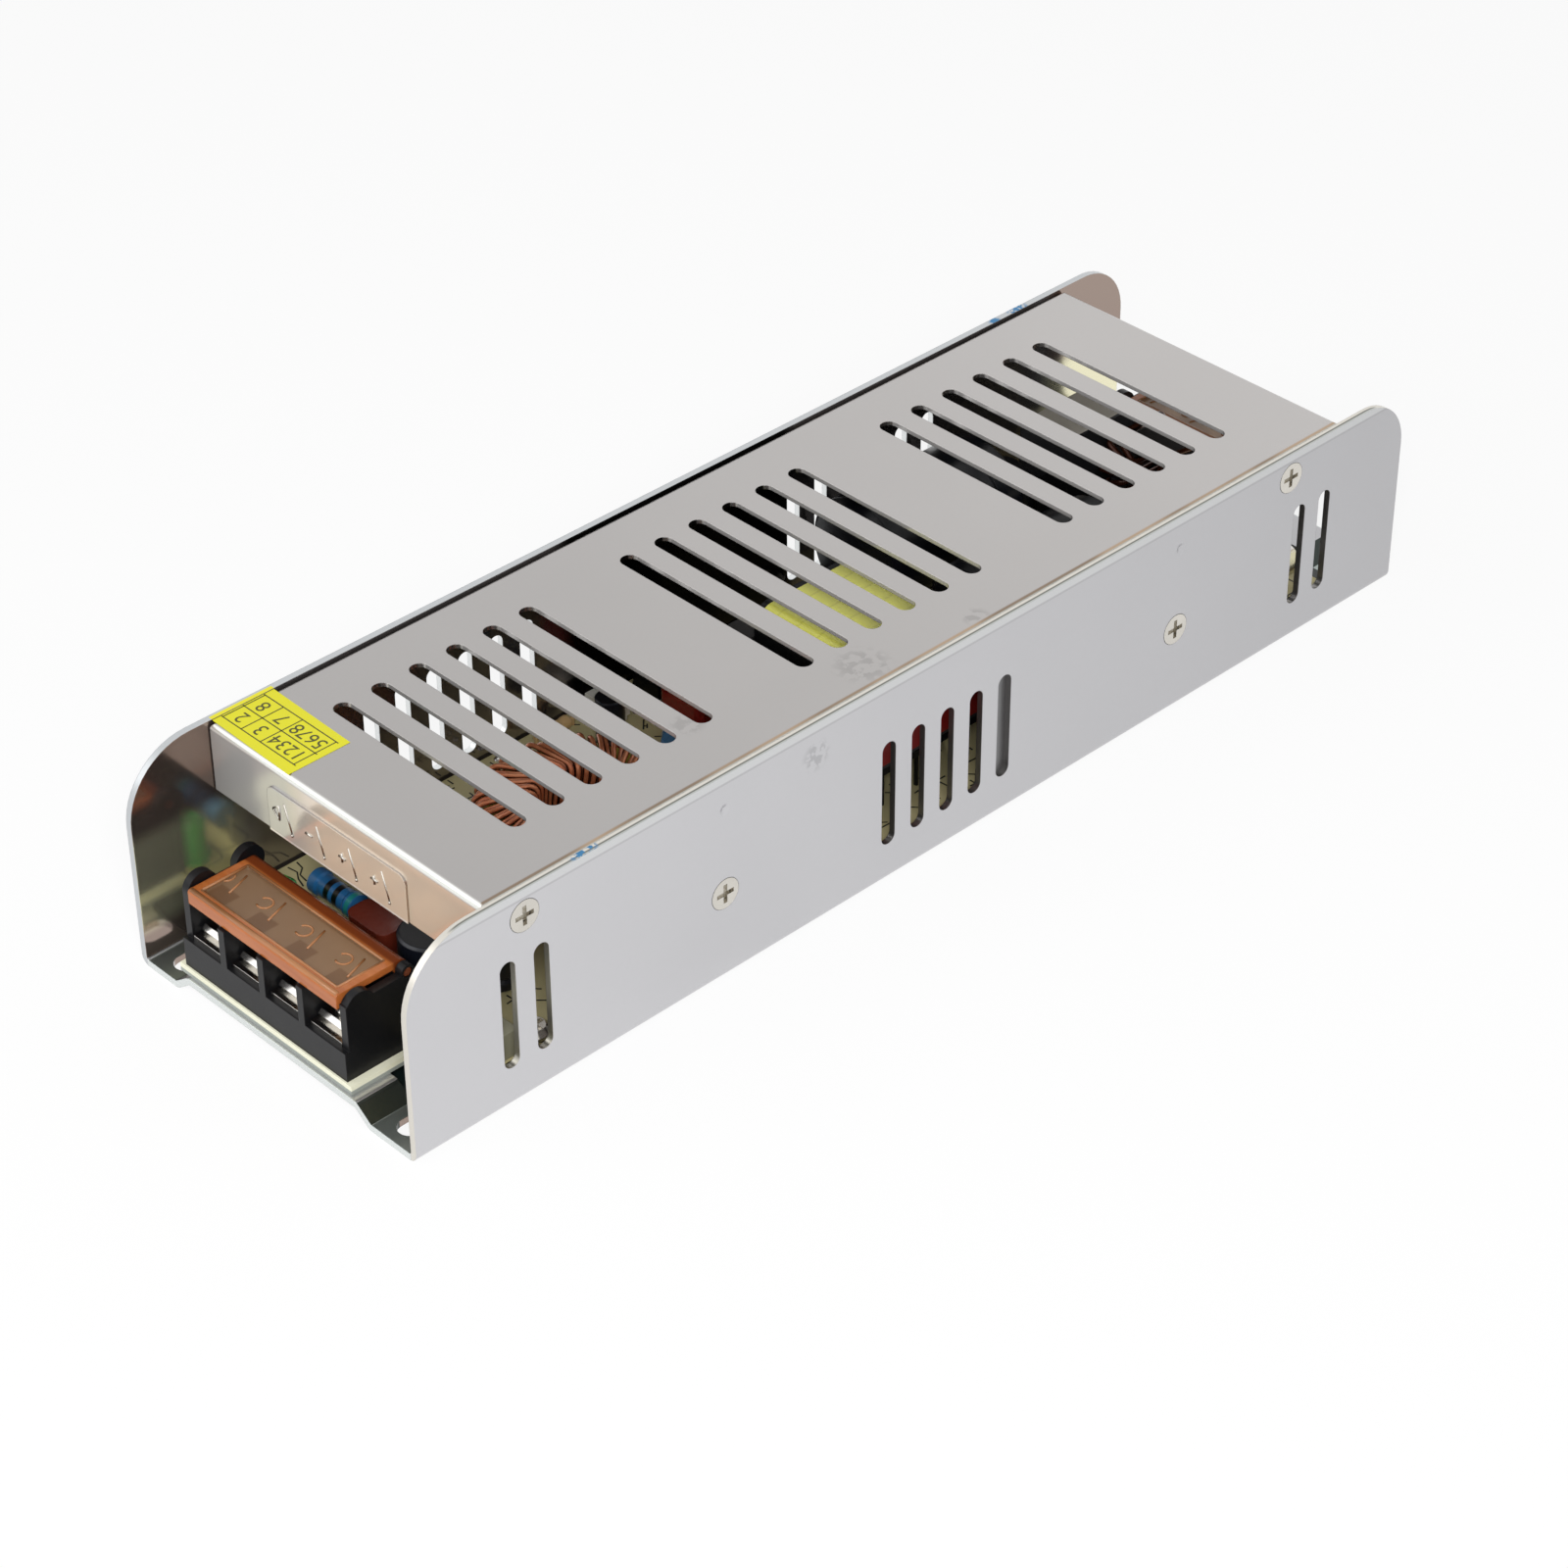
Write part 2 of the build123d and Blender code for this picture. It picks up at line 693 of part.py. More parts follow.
choke_rise = board_top + choke_base[2] + choke_wire + winding_play + choke_core[1]
choke_plane = Plane((choke_x, choke_y, choke_rise), x_dir=(0, 1, 0), z_dir=(1, 0, 0))
choke_angles = [
    middle + (i - (choke_turns - 1) / 2) * choke_turn_angle for middle in (0, 180) for i in range(choke_turns)
]
save(ring_core(choke_plane, choke_core), "line_choke_core")
save(ring_turns(choke_plane, choke_core, choke_wire, choke_angles), "line_choke_windings")
with BuildPart() as line_choke_base:
    base_x, base_y, base_tall = choke_base
    with BuildSketch(Plane((choke_x, choke_y, board_top))):
        RectangleRounded(base_x, base_y, 1.0)
    extrude(amount=base_tall)
    with BuildSketch(Plane((choke_x, choke_y, board_top + base_tall))):
        Rectangle(choke_core[2] - 2.2, 4.0)
    extrude(amount=choke_wire)
save(line_choke_base, "line_choke_base")

# Main transformer
window_half = core_length / 2 - yoke
with BuildPart() as transformer_core:
    for side in (-1, 1):
        middle = transformer_y + side * (core_length + core_split) / 4
        with BuildSketch(Plane((transformer_x, middle, core_z - core_thickness / 2))):
            Rectangle(core_width, (core_length - core_split) / 2)
            window_width = (core_width - centre_leg) / 2 - outer_leg
            window_x = (centre_leg + window_width) / 2
            with Locations((-window_x, -side * yoke / 2), (window_x, -side * yoke / 2)):
                Rectangle(window_width, (core_length - core_split) / 2 - yoke, mode=Mode.SUBTRACT)
        extrude(amount=core_thickness)
save(transformer_core, "transformer_core")

tube_half_x = centre_leg / 2 + bobbin_gap + bobbin_wall
tube_half_z = core_thickness / 2 + bobbin_gap + bobbin_wall
with BuildPart() as transformer_bobbin:
    bobbin_end = window_half - bobbin_gap
    with BuildSketch(Plane((transformer_x, transformer_y, core_z), x_dir=(1, 0, 0), z_dir=(0, -1, 0))):
        Rectangle(2 * tube_half_x, 2 * tube_half_z)
    extrude(amount=bobbin_end, both=True)
    for side in (-1, 1):
        face = transformer_y + side * (bobbin_end - bobbin_flange / 2)
        with BuildSketch(Plane((transformer_x, face, core_z), x_dir=(1, 0, 0), z_dir=(0, -1, 0))):
            RectangleRounded(2 * winding_half_width, 2 * winding_half_height, winding_corner)
        extrude(amount=bobbin_flange / 2, both=True)
        rail_out = core_length / 2
        rail_in = bobbin_end - bobbin_flange
        core_under = core_z - core_thickness / 2
        rail_y = transformer_y + side * (rail_in + rail_out) / 2
        with BuildSketch(Plane((transformer_x, rail_y, core_under))):
            Rectangle(2 * winding_half_width, rail_out - rail_in)
        extrude(amount=-rail_thickness)
        pin_y = transformer_y + side * (rail_out - 2 * lead)
        with BuildSketch(Plane((transformer_x, pin_y, board_top))):
            with GridLocations(transformer_pin_pitch, 1, transformer_pins, 1):
                RegularPolygon(radius=lead, side_count=lead_sides)
        extrude(amount=core_under - rail_thickness - board_top)
    with BuildSketch(Plane((transformer_x, transformer_y, core_z), x_dir=(1, 0, 0), z_dir=(0, -1, 0))):
        Rectangle(centre_leg + 2 * bobbin_gap, core_thickness + 2 * bobbin_gap)
    extrude(amount=core_length / 2, both=True, mode=Mode.SUBTRACT)
save(transformer_bobbin, "transformer_bobbin")

with BuildPart() as transformer_winding:
    with BuildSketch(Plane((transformer_x, transformer_y, core_z), x_dir=(1, 0, 0), z_dir=(0, -1, 0))):
        RectangleRounded(2 * winding_half_width, 2 * winding_half_height, winding_corner)
        Rectangle(2 * tube_half_x, 2 * tube_half_z, mode=Mode.SUBTRACT)
    extrude(amount=window_half - bobbin_gap - bobbin_flange, both=True)
save(transformer_winding, "transformer_winding")

with BuildPart() as transformer_band:
    with BuildSketch(Plane((transformer_x, transformer_y, core_z))):
        inner_x = core_width + 2 * band_gap
        inner_y = core_length + 2 * band_gap
        Rectangle(inner_x + 2 * band_thickness, inner_y + 2 * band_thickness)
        Rectangle(inner_x, inner_y, mode=Mode.SUBTRACT)
    extrude(amount=band_tall / 2, both=True)
save(transformer_band, "transformer_band")

# Drive transformer
with BuildPart() as drive_transformer_core:
    core_x, core_y, core_tall = drive_core
    winding_x, winding_y, winding_tall = drive_winding
    lift = (winding_tall - core_tall) / 2
    with BuildSketch(Plane((drive_x, drive_y, board_top + lift))):
        Rectangle(core_x, core_y)
        Rectangle(winding_x + 1.0, winding_y + 0.4, mode=Mode.SUBTRACT)
        Rectangle(winding_x / 3, winding_y + 0.4)
    extrude(amount=core_tall)
save(drive_transformer_core, "drive_transformer_core")

with BuildPart() as drive_transformer_winding:
    with BuildSketch(Plane((drive_x, drive_y, board_top + winding_tall / 2), x_dir=(1, 0, 0), z_dir=(0, -1, 0))):
        RectangleRounded(winding_x, winding_tall, 1.2)
        Rectangle(winding_x / 3 + 0.4, core_tall + 0.4, mode=Mode.SUBTRACT)
    extrude(amount=winding_y / 2, both=True)
save(drive_transformer_winding, "drive_transformer_winding")


# Heatsinks and power devices along the right-hand wall
bar_face = wall_right + bar_thickness
device_hole_z = board_top + device_lift + device_body + device_hole_up


def heatsink_bar(span, case_screw_x, devices):
    """An upright bar against the wall, tapped for the case screw and for its devices."""
    start, end = span
    tall = bar_top - board_top
    face = Plane(((start + end) / 2, wall_right, board_top + tall / 2), x_dir=(1, 0, 0), z_dir=(0, -1, 0))
    with BuildPart() as bar:
        with BuildSketch(face):
            Rectangle(end - start, tall)
        extrude(amount=-bar_thickness)
        chamfer(bar.edges().filter_by(Axis.Z).group_by(Axis.Y)[-1], length=0.6)
        with Locations(Location((case_screw_x, wall_right, heatsink_screw_z), (90, 0, 0))):
            Cylinder(screw_hole, 2 * bar_thickness, mode=Mode.SUBTRACT)
        with Locations(*[Location((x, bar_face, device_hole_z), (90, 0, 0)) for x in devices]):
            Cylinder(screw_hole, 2 * bar_thickness, mode=Mode.SUBTRACT)
    return bar


def power_devices(places):
    """Three-legged power devices, metal tabs flat against the bar."""
    foot = board_top + device_lift
    with BuildPart() as devices:
        for x in places:
            with BuildSketch(Plane((x, bar_face, foot))):
                with Locations((0, device_depth / 2)):
                    Rectangle(device_width, device_depth)
            extrude(amount=device_body)
            with BuildSketch(Plane((x, bar_face, foot))):
                with Locations((0, device_tab / 2)):
                    Rectangle(device_width, device_tab)
            extrude(amount=device_body + device_tab_height)
            with BuildSketch(Plane((x, bar_face + device_depth / 2, board_top))):
                with GridLocations(device_leg_pitch, 1, 3, 1):
                    Rectangle(0.8, 0.6)
            extrude(amount=device_lift)
        with Locations(*[Location((x, bar_face, device_hole_z), (90, 0, 0)) for x in places]):
            Cylinder(screw_hole, 3 * device_tab, mode=Mode.SUBTRACT)
    return devices


save(heatsink_bar(rectifier_bar, rectifier_screw_x, rectifier_at), "rectifier_heatsink")
save(heatsink_bar(transistor_bar, transistor_screw_x, transistor_at), "transistor_heatsink")
save(power_devices(rectifier_at), "output_rectifiers")
save(power_devices(transistor_at), "switching_transistors")
tab_face = bar_face + device_tab
device_screw_places = [
    Location((x, tab_face, device_hole_z), (-90, 0, 0)) for x in (*rectifier_at, *transistor_at)
]
save(screw_set(pan_screw(device_screw_length), device_screw_places), "device_screws")


# Capacitors
def can_profile(radius, tall):
    """Half section of a sleeved can: bevelled foot, crimp groove near the foot, bevelled shoulder."""
    groove = radius * 0.09
    groove_up = radius * 0.35
    with BuildLine() as outline:
        Polyline(
            (0, 0),
            (radius - groove, 0),
            (radius, groove),
            (radius, groove_up),
            (radius - groove, groove_up * 1.3),
            (radius, groove_up * 1.6),
            (radius, tall - groove),
            (radius - groove, tall),
            (0, tall),
            close=True,
        )
    make_face(outline.edges())


with BuildPart() as bulk_capacitors:
    for y in bulk_y:
        axis_line = Axis((bulk_x, y, board_top + bulk_radius), (1, 0, 0))
        start = (bulk_x + bulk_length / 2, y, board_top + bulk_radius)
        with BuildSketch(Plane(start, x_dir=(0, 1, 0), z_dir=(0, 0, 1))):
            can_profile(bulk_radius, bulk_length)
        revolve(axis=axis_line)
save(bulk_capacitors, "bulk_capacitors")


def standing_cans(places, radius, tall):
    """Upright cans on the board."""
    with BuildPart() as cans:
        for x, y in places:
            with BuildSketch(Plane((x, y, board_top), x_dir=(1, 0, 0), z_dir=(0, -1, 0))):
                can_profile(radius, tall)
            revolve(axis=Axis((x, y, board_top), (0, 0, 1)))
    return cans


save(standing_cans(output_at, output_radius, output_height), "output_capacitors")
save(standing_cans(small_at, small_radius, small_height), "supply_capacitors")


def standing_discs(places, radius, thickness):
    """Coated discs standing on two leads, their faces across the case."""
    with BuildPart() as discs:
        for x, y in places:
            with BuildSketch(Plane((x, y, board_top + radius + disc_lift), x_dir=(0, 1, 0), z_dir=(1, 0, 0))):
                Circle(radius)
            extrude(amount=thickness / 2, both=True)
        chamfer(discs.edges().filter_by(GeomType.CIRCLE), length=disc_bevel)
        with BuildSketch(Plane.XY.offset(board_top)):
            with Locations(*[(x, y + side * radius / 2) for x, y in places for side in (-1, 1)]):
                RegularPolygon(radius=lead, side_count=lead_sides)
        extrude(amount=radius)
    return discs


save(standing_discs(disc_at, disc_radius, disc_thickness), "y_capacitors")
save(standing_discs([thermistor_at], thermistor_radius, thermistor_thickness), "inrush_thermistor")
save(standing_discs([varistor_at], thermistor_radius, thermistor_thickness), "surge_varistor")
save(on_board(*x_capacitor_box), "x_capacitor")
with BuildPart() as film_capacitors:
    for x, y, size_x, size_y, tall in film_boxes:
        with BuildSketch(Plane((x, y, board_top))):
            RectangleRounded(size_x, size_y, size_y * 0.3 if size_y < size_x else size_x * 0.3)
        extrude(amount=tall)
    fillet(film_capacitors.edges().group_by(Axis.Z)[-1], radius=0.8)
save(film_capacitors, "film_capacitors")

# Mains input parts
with BuildPart() as bridge_rectifier:
    x, y, size_x, size_y, tall = bridge_box
    bevel = 3.0
    with BuildSketch(Plane((x, y, board_top + tall / 2 + 0.6), x_dir=(0, 1, 0), z_dir=(1, 0, 0))) as outline:
        Rectangle(size_y, tall - 1.2)
        chamfer(outline.vertices().group_by(Axis.Y)[-1].sort_by(Axis.X)[-1], length=bevel)
    extrude(amount=size_x / 2, both=True)
    with BuildSketch(Plane((x, y, board_top))):
        with GridLocations(1, size_y / 4, 1, 4):
            RegularPolygon(radius=1.5 * lead, side_count=lead_sides)
    extrude(amount=1.4)
save(bridge_rectifier, "bridge_rectifier")

fuse_z = board_top + fuse_lift + fuse_radius
fuse_start = Plane((fuse_at[0], fuse_at[1], fuse_z), x_dir=(0, 1, 0), z_dir=(1, 0, 0))
with BuildPart() as fuse_tube:
    with BuildSketch(fuse_start):
        Circle(fuse_radius - 0.2)
    extrude(amount=fuse_length / 2 - fuse_cap, both=True)
save(fuse_tube, "fuse_tube")

with BuildPart() as fuse_caps:
    for side in (-1, 1):
        with BuildSketch(fuse_start.offset(side * (fuse_length - fuse_cap) / 2)):
            Circle(fuse_radius)
        extrude(amount=fuse_cap / 2, both=True)
save(fuse_caps, "fuse_caps")

with BuildPart() as fuse_clips:
    clip_wall = 0.5
    clip_out = fuse_radius + clip_wall
    for side in (-1, 1):
        with BuildSketch(fuse_start.offset(side * (fuse_length - fuse_cap) / 2)):
            Circle(clip_out)
            with Locations((0, -clip_out)):
                Rectangle(0.6 * clip_out, 2 * (fuse_lift - clip_wall))
            Circle(fuse_radius, mode=Mode.SUBTRACT)
            with Locations((0, clip_out)):
                Rectangle(1.5 * fuse_radius, 1.6 * clip_out, mode=Mode.SUBTRACT)
        extrude(amount=fuse_cap / 2 - 0.6, both=True)
save(fuse_clips, "fuse_clips")

# Control side
def chips(places, size, pins):
    """Moulded chips standing on two rows of pins."""
    size_x, size_y, tall = size
    with BuildPart() as moulded:
        for x, y in places:
            with BuildSketch(Plane((x, y, board_top + chip_stand))):
                Rectangle(size_x, size_y)
            extrude(amount=tall, taper=4)
            with BuildSketch(Plane((x, y, board_top))):
                with GridLocations(size_x / pins, size_y, pins, 2):
                    Rectangle(0.6, 0.5)
            extrude(amount=chip_stand + tall / 2)
    return moulded


save(chips([chip_at], chip_size, chip_pins), "control_chip")
save(chips(optocouplers_at, optocoupler_size, optocoupler_pins), "optocouplers")

with BuildPart() as voltage_trimmer:
    x, y = trimmer_at
    size_x, size_y, tall = trimmer_size
    with BuildSketch(Plane((x, y, board_top))):
        Rectangle(size_x, size_y)
    extrude(amount=tall)
    chamfer(voltage_trimmer.edges().filter_by(Axis.Z), length=0.5)
    with BuildSketch(Plane((x, y, board_top + tall))):
        Circle(rotor_radius + 0.3)
    extrude(amount=-rotor_height / 2, mode=Mode.SUBTRACT)
    with BuildSketch(Plane((x, y, board_top + tall))):
        Circle(rotor_stem + rotor_play)
    extrude(amount=-rotor_height / 2 - rotor_stem_length - 0.2, mode=Mode.SUBTRACT)
save(voltage_trimmer, "voltage_trimmer")

with BuildPart() as trimmer_rotor:
    x, y = trimmer_at
    seat = board_top + tall - rotor_height / 2 + 0.1
    with BuildSketch(Plane((x, y, seat))):
        Circle(rotor_radius)
    extrude(amount=rotor_height)
    with BuildSketch(Plane((x, y, seat))):
        Circle(rotor_stem)
    extrude(amount=-rotor_stem_length)
    with BuildSketch(Plane((x, y, seat + rotor_height))):
        Rectangle(2 * rotor_radius, rotor_slot)
    extrude(amount=-rotor_height / 2, mode=Mode.SUBTRACT)
save(trimmer_rotor, "trimmer_rotor")

with BuildPart() as power_led:
    with BuildSketch(Plane((*led_at, board_top))):
        Circle(led_radius)
    extrude(amount=led_height)
    chamfer(power_led.edges().group_by(Axis.Z)[-1], length=led_radius / 2)
    with BuildSketch(Plane((*led_at, board_top))):
        Circle(led_radius + 0.4)
    extrude(amount=1.0)
save(power_led, "power_led")


def lying_resistor(x, y, radius, reach, along_y, lift=0.0):
    """A coated resistor lying over the board, its two wires bent down into it."""
    direction = (0, 1, 0) if along_y else (1, 0, 0)
    cross = (1, 0, 0) if along_y else (0, 1, 0)
    rise = board_top + lift + radius
    with BuildSketch(Plane((x, y, rise), x_dir=direction, z_dir=(0, 0, 1))) as body:
        with BuildLine():
            waist = radius * 0.88
            bulb = reach / 2 - reach * 0.18
            Polyline(
                (-reach / 2, 0),
                (-reach / 2, radius * 0.6),
                (0.4 - reach / 2, radius),
                (-bulb, radius),
                (0.5 - bulb, waist),
                (bulb - 0.5, waist),
                (bulb, radius),
                (reach / 2 - 0.4, radius),
                (reach / 2, radius * 0.6),
                (reach / 2, 0),
                close=True,
            )
        make_face()
    revolve(body.sketch, axis=Axis((x, y, rise), direction))
    for side in (-1, 1):
        tip = Vector(x, y, 0) + Vector(direction) * side * (reach / 2 + 2 * lead)
        with BuildSketch(Plane((tip.X, tip.Y, board_top))) as wire:
            RegularPolygon(radius=lead, side_count=lead_sides)
        extrude(wire.sketch, amount=lift + radius + lead)
        shoulder = Vector(x, y, rise) + Vector(direction) * side * (reach / 2 - 0.2)
        with BuildSketch(Plane(shoulder, x_dir=cross, z_dir=Vector(direction) * side)) as wire:
            RegularPolygon(radius=lead, side_count=lead_sides)
        extrude(wire.sketch, amount=0.2 + 3 * lead)


with BuildPart() as load_resistor:
    lying_resistor(*resistor_at, resistor_radius, resistor_length, along_y=True, lift=resistor_lift)
save(load_resistor, "load_resistor")

with BuildPart() as snubber_resistor:
    lying_resistor(*snubber_at, snubber_radius, snubber_length, along_y=True, lift=2 * resistor_lift)
save(snubber_resistor, "snubber_resistor")

with BuildPart() as small_resistors:
    for x, y in resistors_at:
        lying_resistor(x, y, resistor_small_radius, resistor_small_length, along_y=False)
save(small_resistors, "small_resistors")
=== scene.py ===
"""Switching power supply: finishes, windings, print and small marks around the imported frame."""

import math
import random

import bmesh
import bpy
from mathutils import Matrix, Vector


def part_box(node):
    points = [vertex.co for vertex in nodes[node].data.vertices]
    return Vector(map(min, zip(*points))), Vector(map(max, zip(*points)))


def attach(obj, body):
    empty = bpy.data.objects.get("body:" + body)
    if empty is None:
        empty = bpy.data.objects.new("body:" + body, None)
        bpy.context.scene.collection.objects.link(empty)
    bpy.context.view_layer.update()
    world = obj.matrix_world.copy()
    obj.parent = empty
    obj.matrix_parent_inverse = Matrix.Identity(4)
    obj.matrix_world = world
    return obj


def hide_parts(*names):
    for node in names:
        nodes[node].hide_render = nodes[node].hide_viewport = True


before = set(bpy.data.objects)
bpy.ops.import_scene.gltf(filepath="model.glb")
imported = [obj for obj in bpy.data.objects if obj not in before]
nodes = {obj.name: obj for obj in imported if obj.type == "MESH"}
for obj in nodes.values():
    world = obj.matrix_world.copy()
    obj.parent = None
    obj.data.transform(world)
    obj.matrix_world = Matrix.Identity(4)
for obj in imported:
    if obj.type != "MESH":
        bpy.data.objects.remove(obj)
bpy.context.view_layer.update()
random.seed(7)

MM = 0.001
UP = Vector((0, 0, 1))


# Placing: boxes of the frame's nodes, in metres
class Box:
    """The box of one node at rest."""

    def __init__(self, node):
        self.low, self.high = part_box(node)
        self.centre = (self.low + self.high) / 2
        self.size = self.high - self.low


chassis = Box("chassis")
cover = Box("cover")
board = Box("circuit_board")
wall_thickness = 1.2 * MM
wall_inside = chassis.high.y - wall_thickness


# Materials, built in object coordinates
def paint(red, green, blue):
    """A display colour from 0 to 255 as the linear colour that a shader takes."""

    def linear(value):
        share = value / 255
        return share / 12.92 if share <= 0.04045 else ((share + 0.055) / 1.055) ** 2.4

    return (linear(red), linear(green), linear(blue), 1.0)


def shade(colour, factor):
    """A colour made lighter or darker."""
    return tuple(min(channel * factor, 1.0) for channel in colour[:3]) + (1.0,)


class Surface:
    """A procedural material while it is being put together."""

    def __init__(self, name):
        self.material = bpy.data.materials.new(name)
        self.material.use_nodes = True
        self.tree = self.material.node_tree
        self.tree.nodes.clear()
        coordinates = self.add("ShaderNodeTexCoord")
        self.place = coordinates.outputs["Object"]
        self.normal = coordinates.outputs["Normal"]

    def add(self, kind, inputs=None, **settings):
        """Adds a node. Each input is a number, a colour, a vector or another node's socket."""
        node = self.tree.nodes.new(kind)
        for name, value in settings.items():
            setattr(node, name, value)
        for socket, value in (inputs or {}).items():
            if isinstance(value, bpy.types.NodeSocket):
                self.tree.links.new(value, node.inputs[socket])
            else:
                node.inputs[socket].default_value = value
        return node

    def calculate(self, operation, first, second=0.0):
        return self.add("ShaderNodeMath", {0: first, 1: second}, operation=operation).outputs[0]

    def size(self, value):
        """A value without its sign."""
        return self.calculate("ABSOLUTE", value)

    def axis(self, letter, vector=None):
        """One component of the place, or of another vector."""
        return self.add("ShaderNodeSeparateXYZ", {0: vector or self.place}).outputs[letter]

    def above(self, value, low, high):
        """0 below low and 1 above high, smooth between them."""
        inputs = {"Value": value, "From Min": low, "From Max": high}
        return self.add("ShaderNodeMapRange", inputs, interpolation_type="SMOOTHSTEP").outputs["Result"]

    def inside(self, value, low, high, soft=0.15 * MM):
        """1 between low and high, 0 outside."""
        over = self.above(value, low - soft, low)
        under = self.above(value, high + soft, high)
        return self.all_of(over, under)

    def all_of(self, first, *others):
        """1 where every one of these shares is 1: their product."""
        product = first
        for share in others:
            product = self.calculate("MULTIPLY", product, share)
        return product

    def faces(self, letter, low, high):
        """1 where the surface looks along an axis, either way; the limits are cosines."""
        return self.above(self.size(self.axis(letter, self.normal)), low, high)

    def noise(self, size, detail=3.0, stretch=(1.0, 1.0, 1.0)):
        """Noise with features of about this size."""
        scale = [share / size for share in stretch]
        mapping = self.add("ShaderNodeMapping", {"Vector": self.place, "Scale": scale})
        inputs = {"Vector": mapping.outputs[0], "Scale": 1.0, "Detail": detail}
        return self.add("ShaderNodeTexNoise", inputs).outputs["Fac"]

    def spot(self, centre, radius):
        """1 near a point, fading to 0 at the radius."""
        inputs = {0: self.place, 1: centre}
        distance = self.add("ShaderNodeVectorMath", inputs, operation="DISTANCE").outputs["Value"]
        return self.above(distance, radius, radius * 0.4)

    def mix(self, share, first, second):
        """Blends two colours."""
        return self.add("ShaderNodeMix", {0: share, 6: first, 7: second}, data_type="RGBA").outputs[2]

    def span(self, share, low, high):
        """Turns a share from 0 to 1 into a value from low to high."""
        inputs = {"Value": share, "To Min": low, "To Max": high}
        return self.add("ShaderNodeMapRange", inputs).outputs["Result"]

    def slope(self, value, low, high, first, last):
        """Goes evenly from first to last as the value goes from low to high."""
        inputs = {"Value": value, "From Min": low, "From Max": high, "To Min": first, "To Max": last}
        return self.add("ShaderNodeMapRange", inputs).outputs["Result"]

    def scaled(self, tone, factor):
        """A colour made lighter or darker by a factor that varies."""
        return self.add("ShaderNodeVectorMath", {0: tone, "Scale": factor}, operation="SCALE").outputs[0]

    def bump(self, height, depth, base=None):
        inputs = {"Height": height, "Distance": depth}
        if base is not None:
            inputs["Normal"] = base
        return self.add("ShaderNodeBump", inputs).outputs["Normal"]

    def rounded(self, radius):
        """A normal that rounds sharp edges."""
        return self.add("ShaderNodeBevel", {"Radius": radius}, samples=4).outputs["Normal"]

    def finish(self, **sockets):
        """Ends the material with a principled shader; a socket's name is written with underscores."""
        inputs = {name.replace("_", " "): value for name, value in sockets.items()}
        shader = self.add("ShaderNodeBsdfPrincipled", inputs)
        self.add("ShaderNodeOutputMaterial", {"Surface": shader.outputs[0]})
        return self.material


# Places that several surfaces and pieces share
POLE_PITCH = 9.5 * MM
COVER_PIN = 1.6 * MM  # length of a terminal cover's hinge pin
STICKER_X = (-95.6 * MM, -83.6 * MM)
STICKER_Y = (12.9 * MM, 32.25 * MM)
STICKER_TOP = cover.high.z + 0.06 * MM
STICKER_RUN_ON = 0.75 * MM  # the paper's end that is painted on the wall's top
SMUDGES = (  # place and radius, mm
    ((-13.5, -27.0, 38.8), 6.0),
    ((-44.0, -19.5, 38.8), 3.5),
    ((-30.0, -33.5, 33.0), 3.5),
    ((9.0, -30.0, 38.8), 3.0),
)
FILM_BITS = (  # x, y and radius, mm
    (-78.0, -32.6, 2.4),
    (-75.4, -32.6, 1.2),
    (85.0, 32.6, 3.0),
    (79.0, 32.6, 1.6),
)

# Linear colours of the sheet metal's zones; most of them are painted highlights, shade and reflections
# Painted shade and dark reflections on the walls' inner faces, and a painted reflection of the lit board at
# the open ends
INNER_PAINTED_SHADE = (0.2, 0.165, 0.145, 1.0)
INNER_PAINTED_DEEP_SHADE = (0.03, 0.028, 0.026, 1.0)
OPEN_END_PAINTED_SHADE = (0.36, 0.28, 0.24, 1.0)
OPEN_END_LIT = (0.97, 0.93, 0.66, 1.0)
# Wall tops: pale cut edges whose bluish and warm tints are painted reflections, with a painted shade line
# and a painted shaded outer band on the right
WALL_TOP_LEFT_PAINTED_REFLECTION = (0.55, 0.57, 0.585, 1.0)
WALL_TOP_RIGHT_PAINTED_REFLECTION = (0.7, 0.67, 0.61, 1.0)
WALL_TOP_OUTER_PAINTED_SHADE = (0.5, 0.52, 0.5, 1.0)
WALL_TOP_PAINTED_SHADE_LINE = (0.2, 0.2, 0.18, 1.0)
# Slot rims: a painted highlight on the left wall's, painted shade on the right wall's, and painted light on
# those near the output end
SLOT_RIM_LEFT_PAINTED_HIGHLIGHT = (0.8, 0.82, 0.82, 1.0)
SLOT_RIM_RIGHT_PAINTED_SHADE = (0.25, 0.24, 0.235, 1.0)
SLOT_RIM_NEAR_PAINTED_LIGHT = (0.5, 0.48, 0.42, 1.0)
FILM_BLUE = paint(70, 130, 176)
PAPER_ON_WALL = paint(235, 228, 60)
# Painted highlight on the rolled wall tops and painted shade in the crease below it
ROLLED_TOP_PAINTED_HIGHLIGHT = (0.72, 0.74, 0.73, 1.0)
ROLLED_CREASE_PAINTED_SHADE = (0.3, 0.3, 0.3, 1.0)
CHANNEL_END = (0.64, 0.67, 0.66, 1.0)
# Grey-green tint of the channel's floor: a painted reflection
CHANNEL_FLOOR_PAINTED_REFLECTION = (0.4, 0.45, 0.43, 1.0)
# Near-black slanted flank of the right ledge: painted shade under the board
CHANNEL_FLANK_PAINTED_SHADE = (0.05, 0.06, 0.055, 1.0)
# Painted reflections of the surroundings in the lid's long bends
BEND_PAINTED_BROWN_REFLECTION = ((0.24, 0.17, 0.11, 1.0), (0.46, 0.33, 0.22, 1.0))
BEND_PAINTED_BLUE_REFLECTION = (0.03, 0.045, 0.075, 1.0)
# Painted highlight on the lid's outermost right edge
LID_RIM_PAINTED_HIGHLIGHT = (0.62, 0.64, 0.6, 1.0)
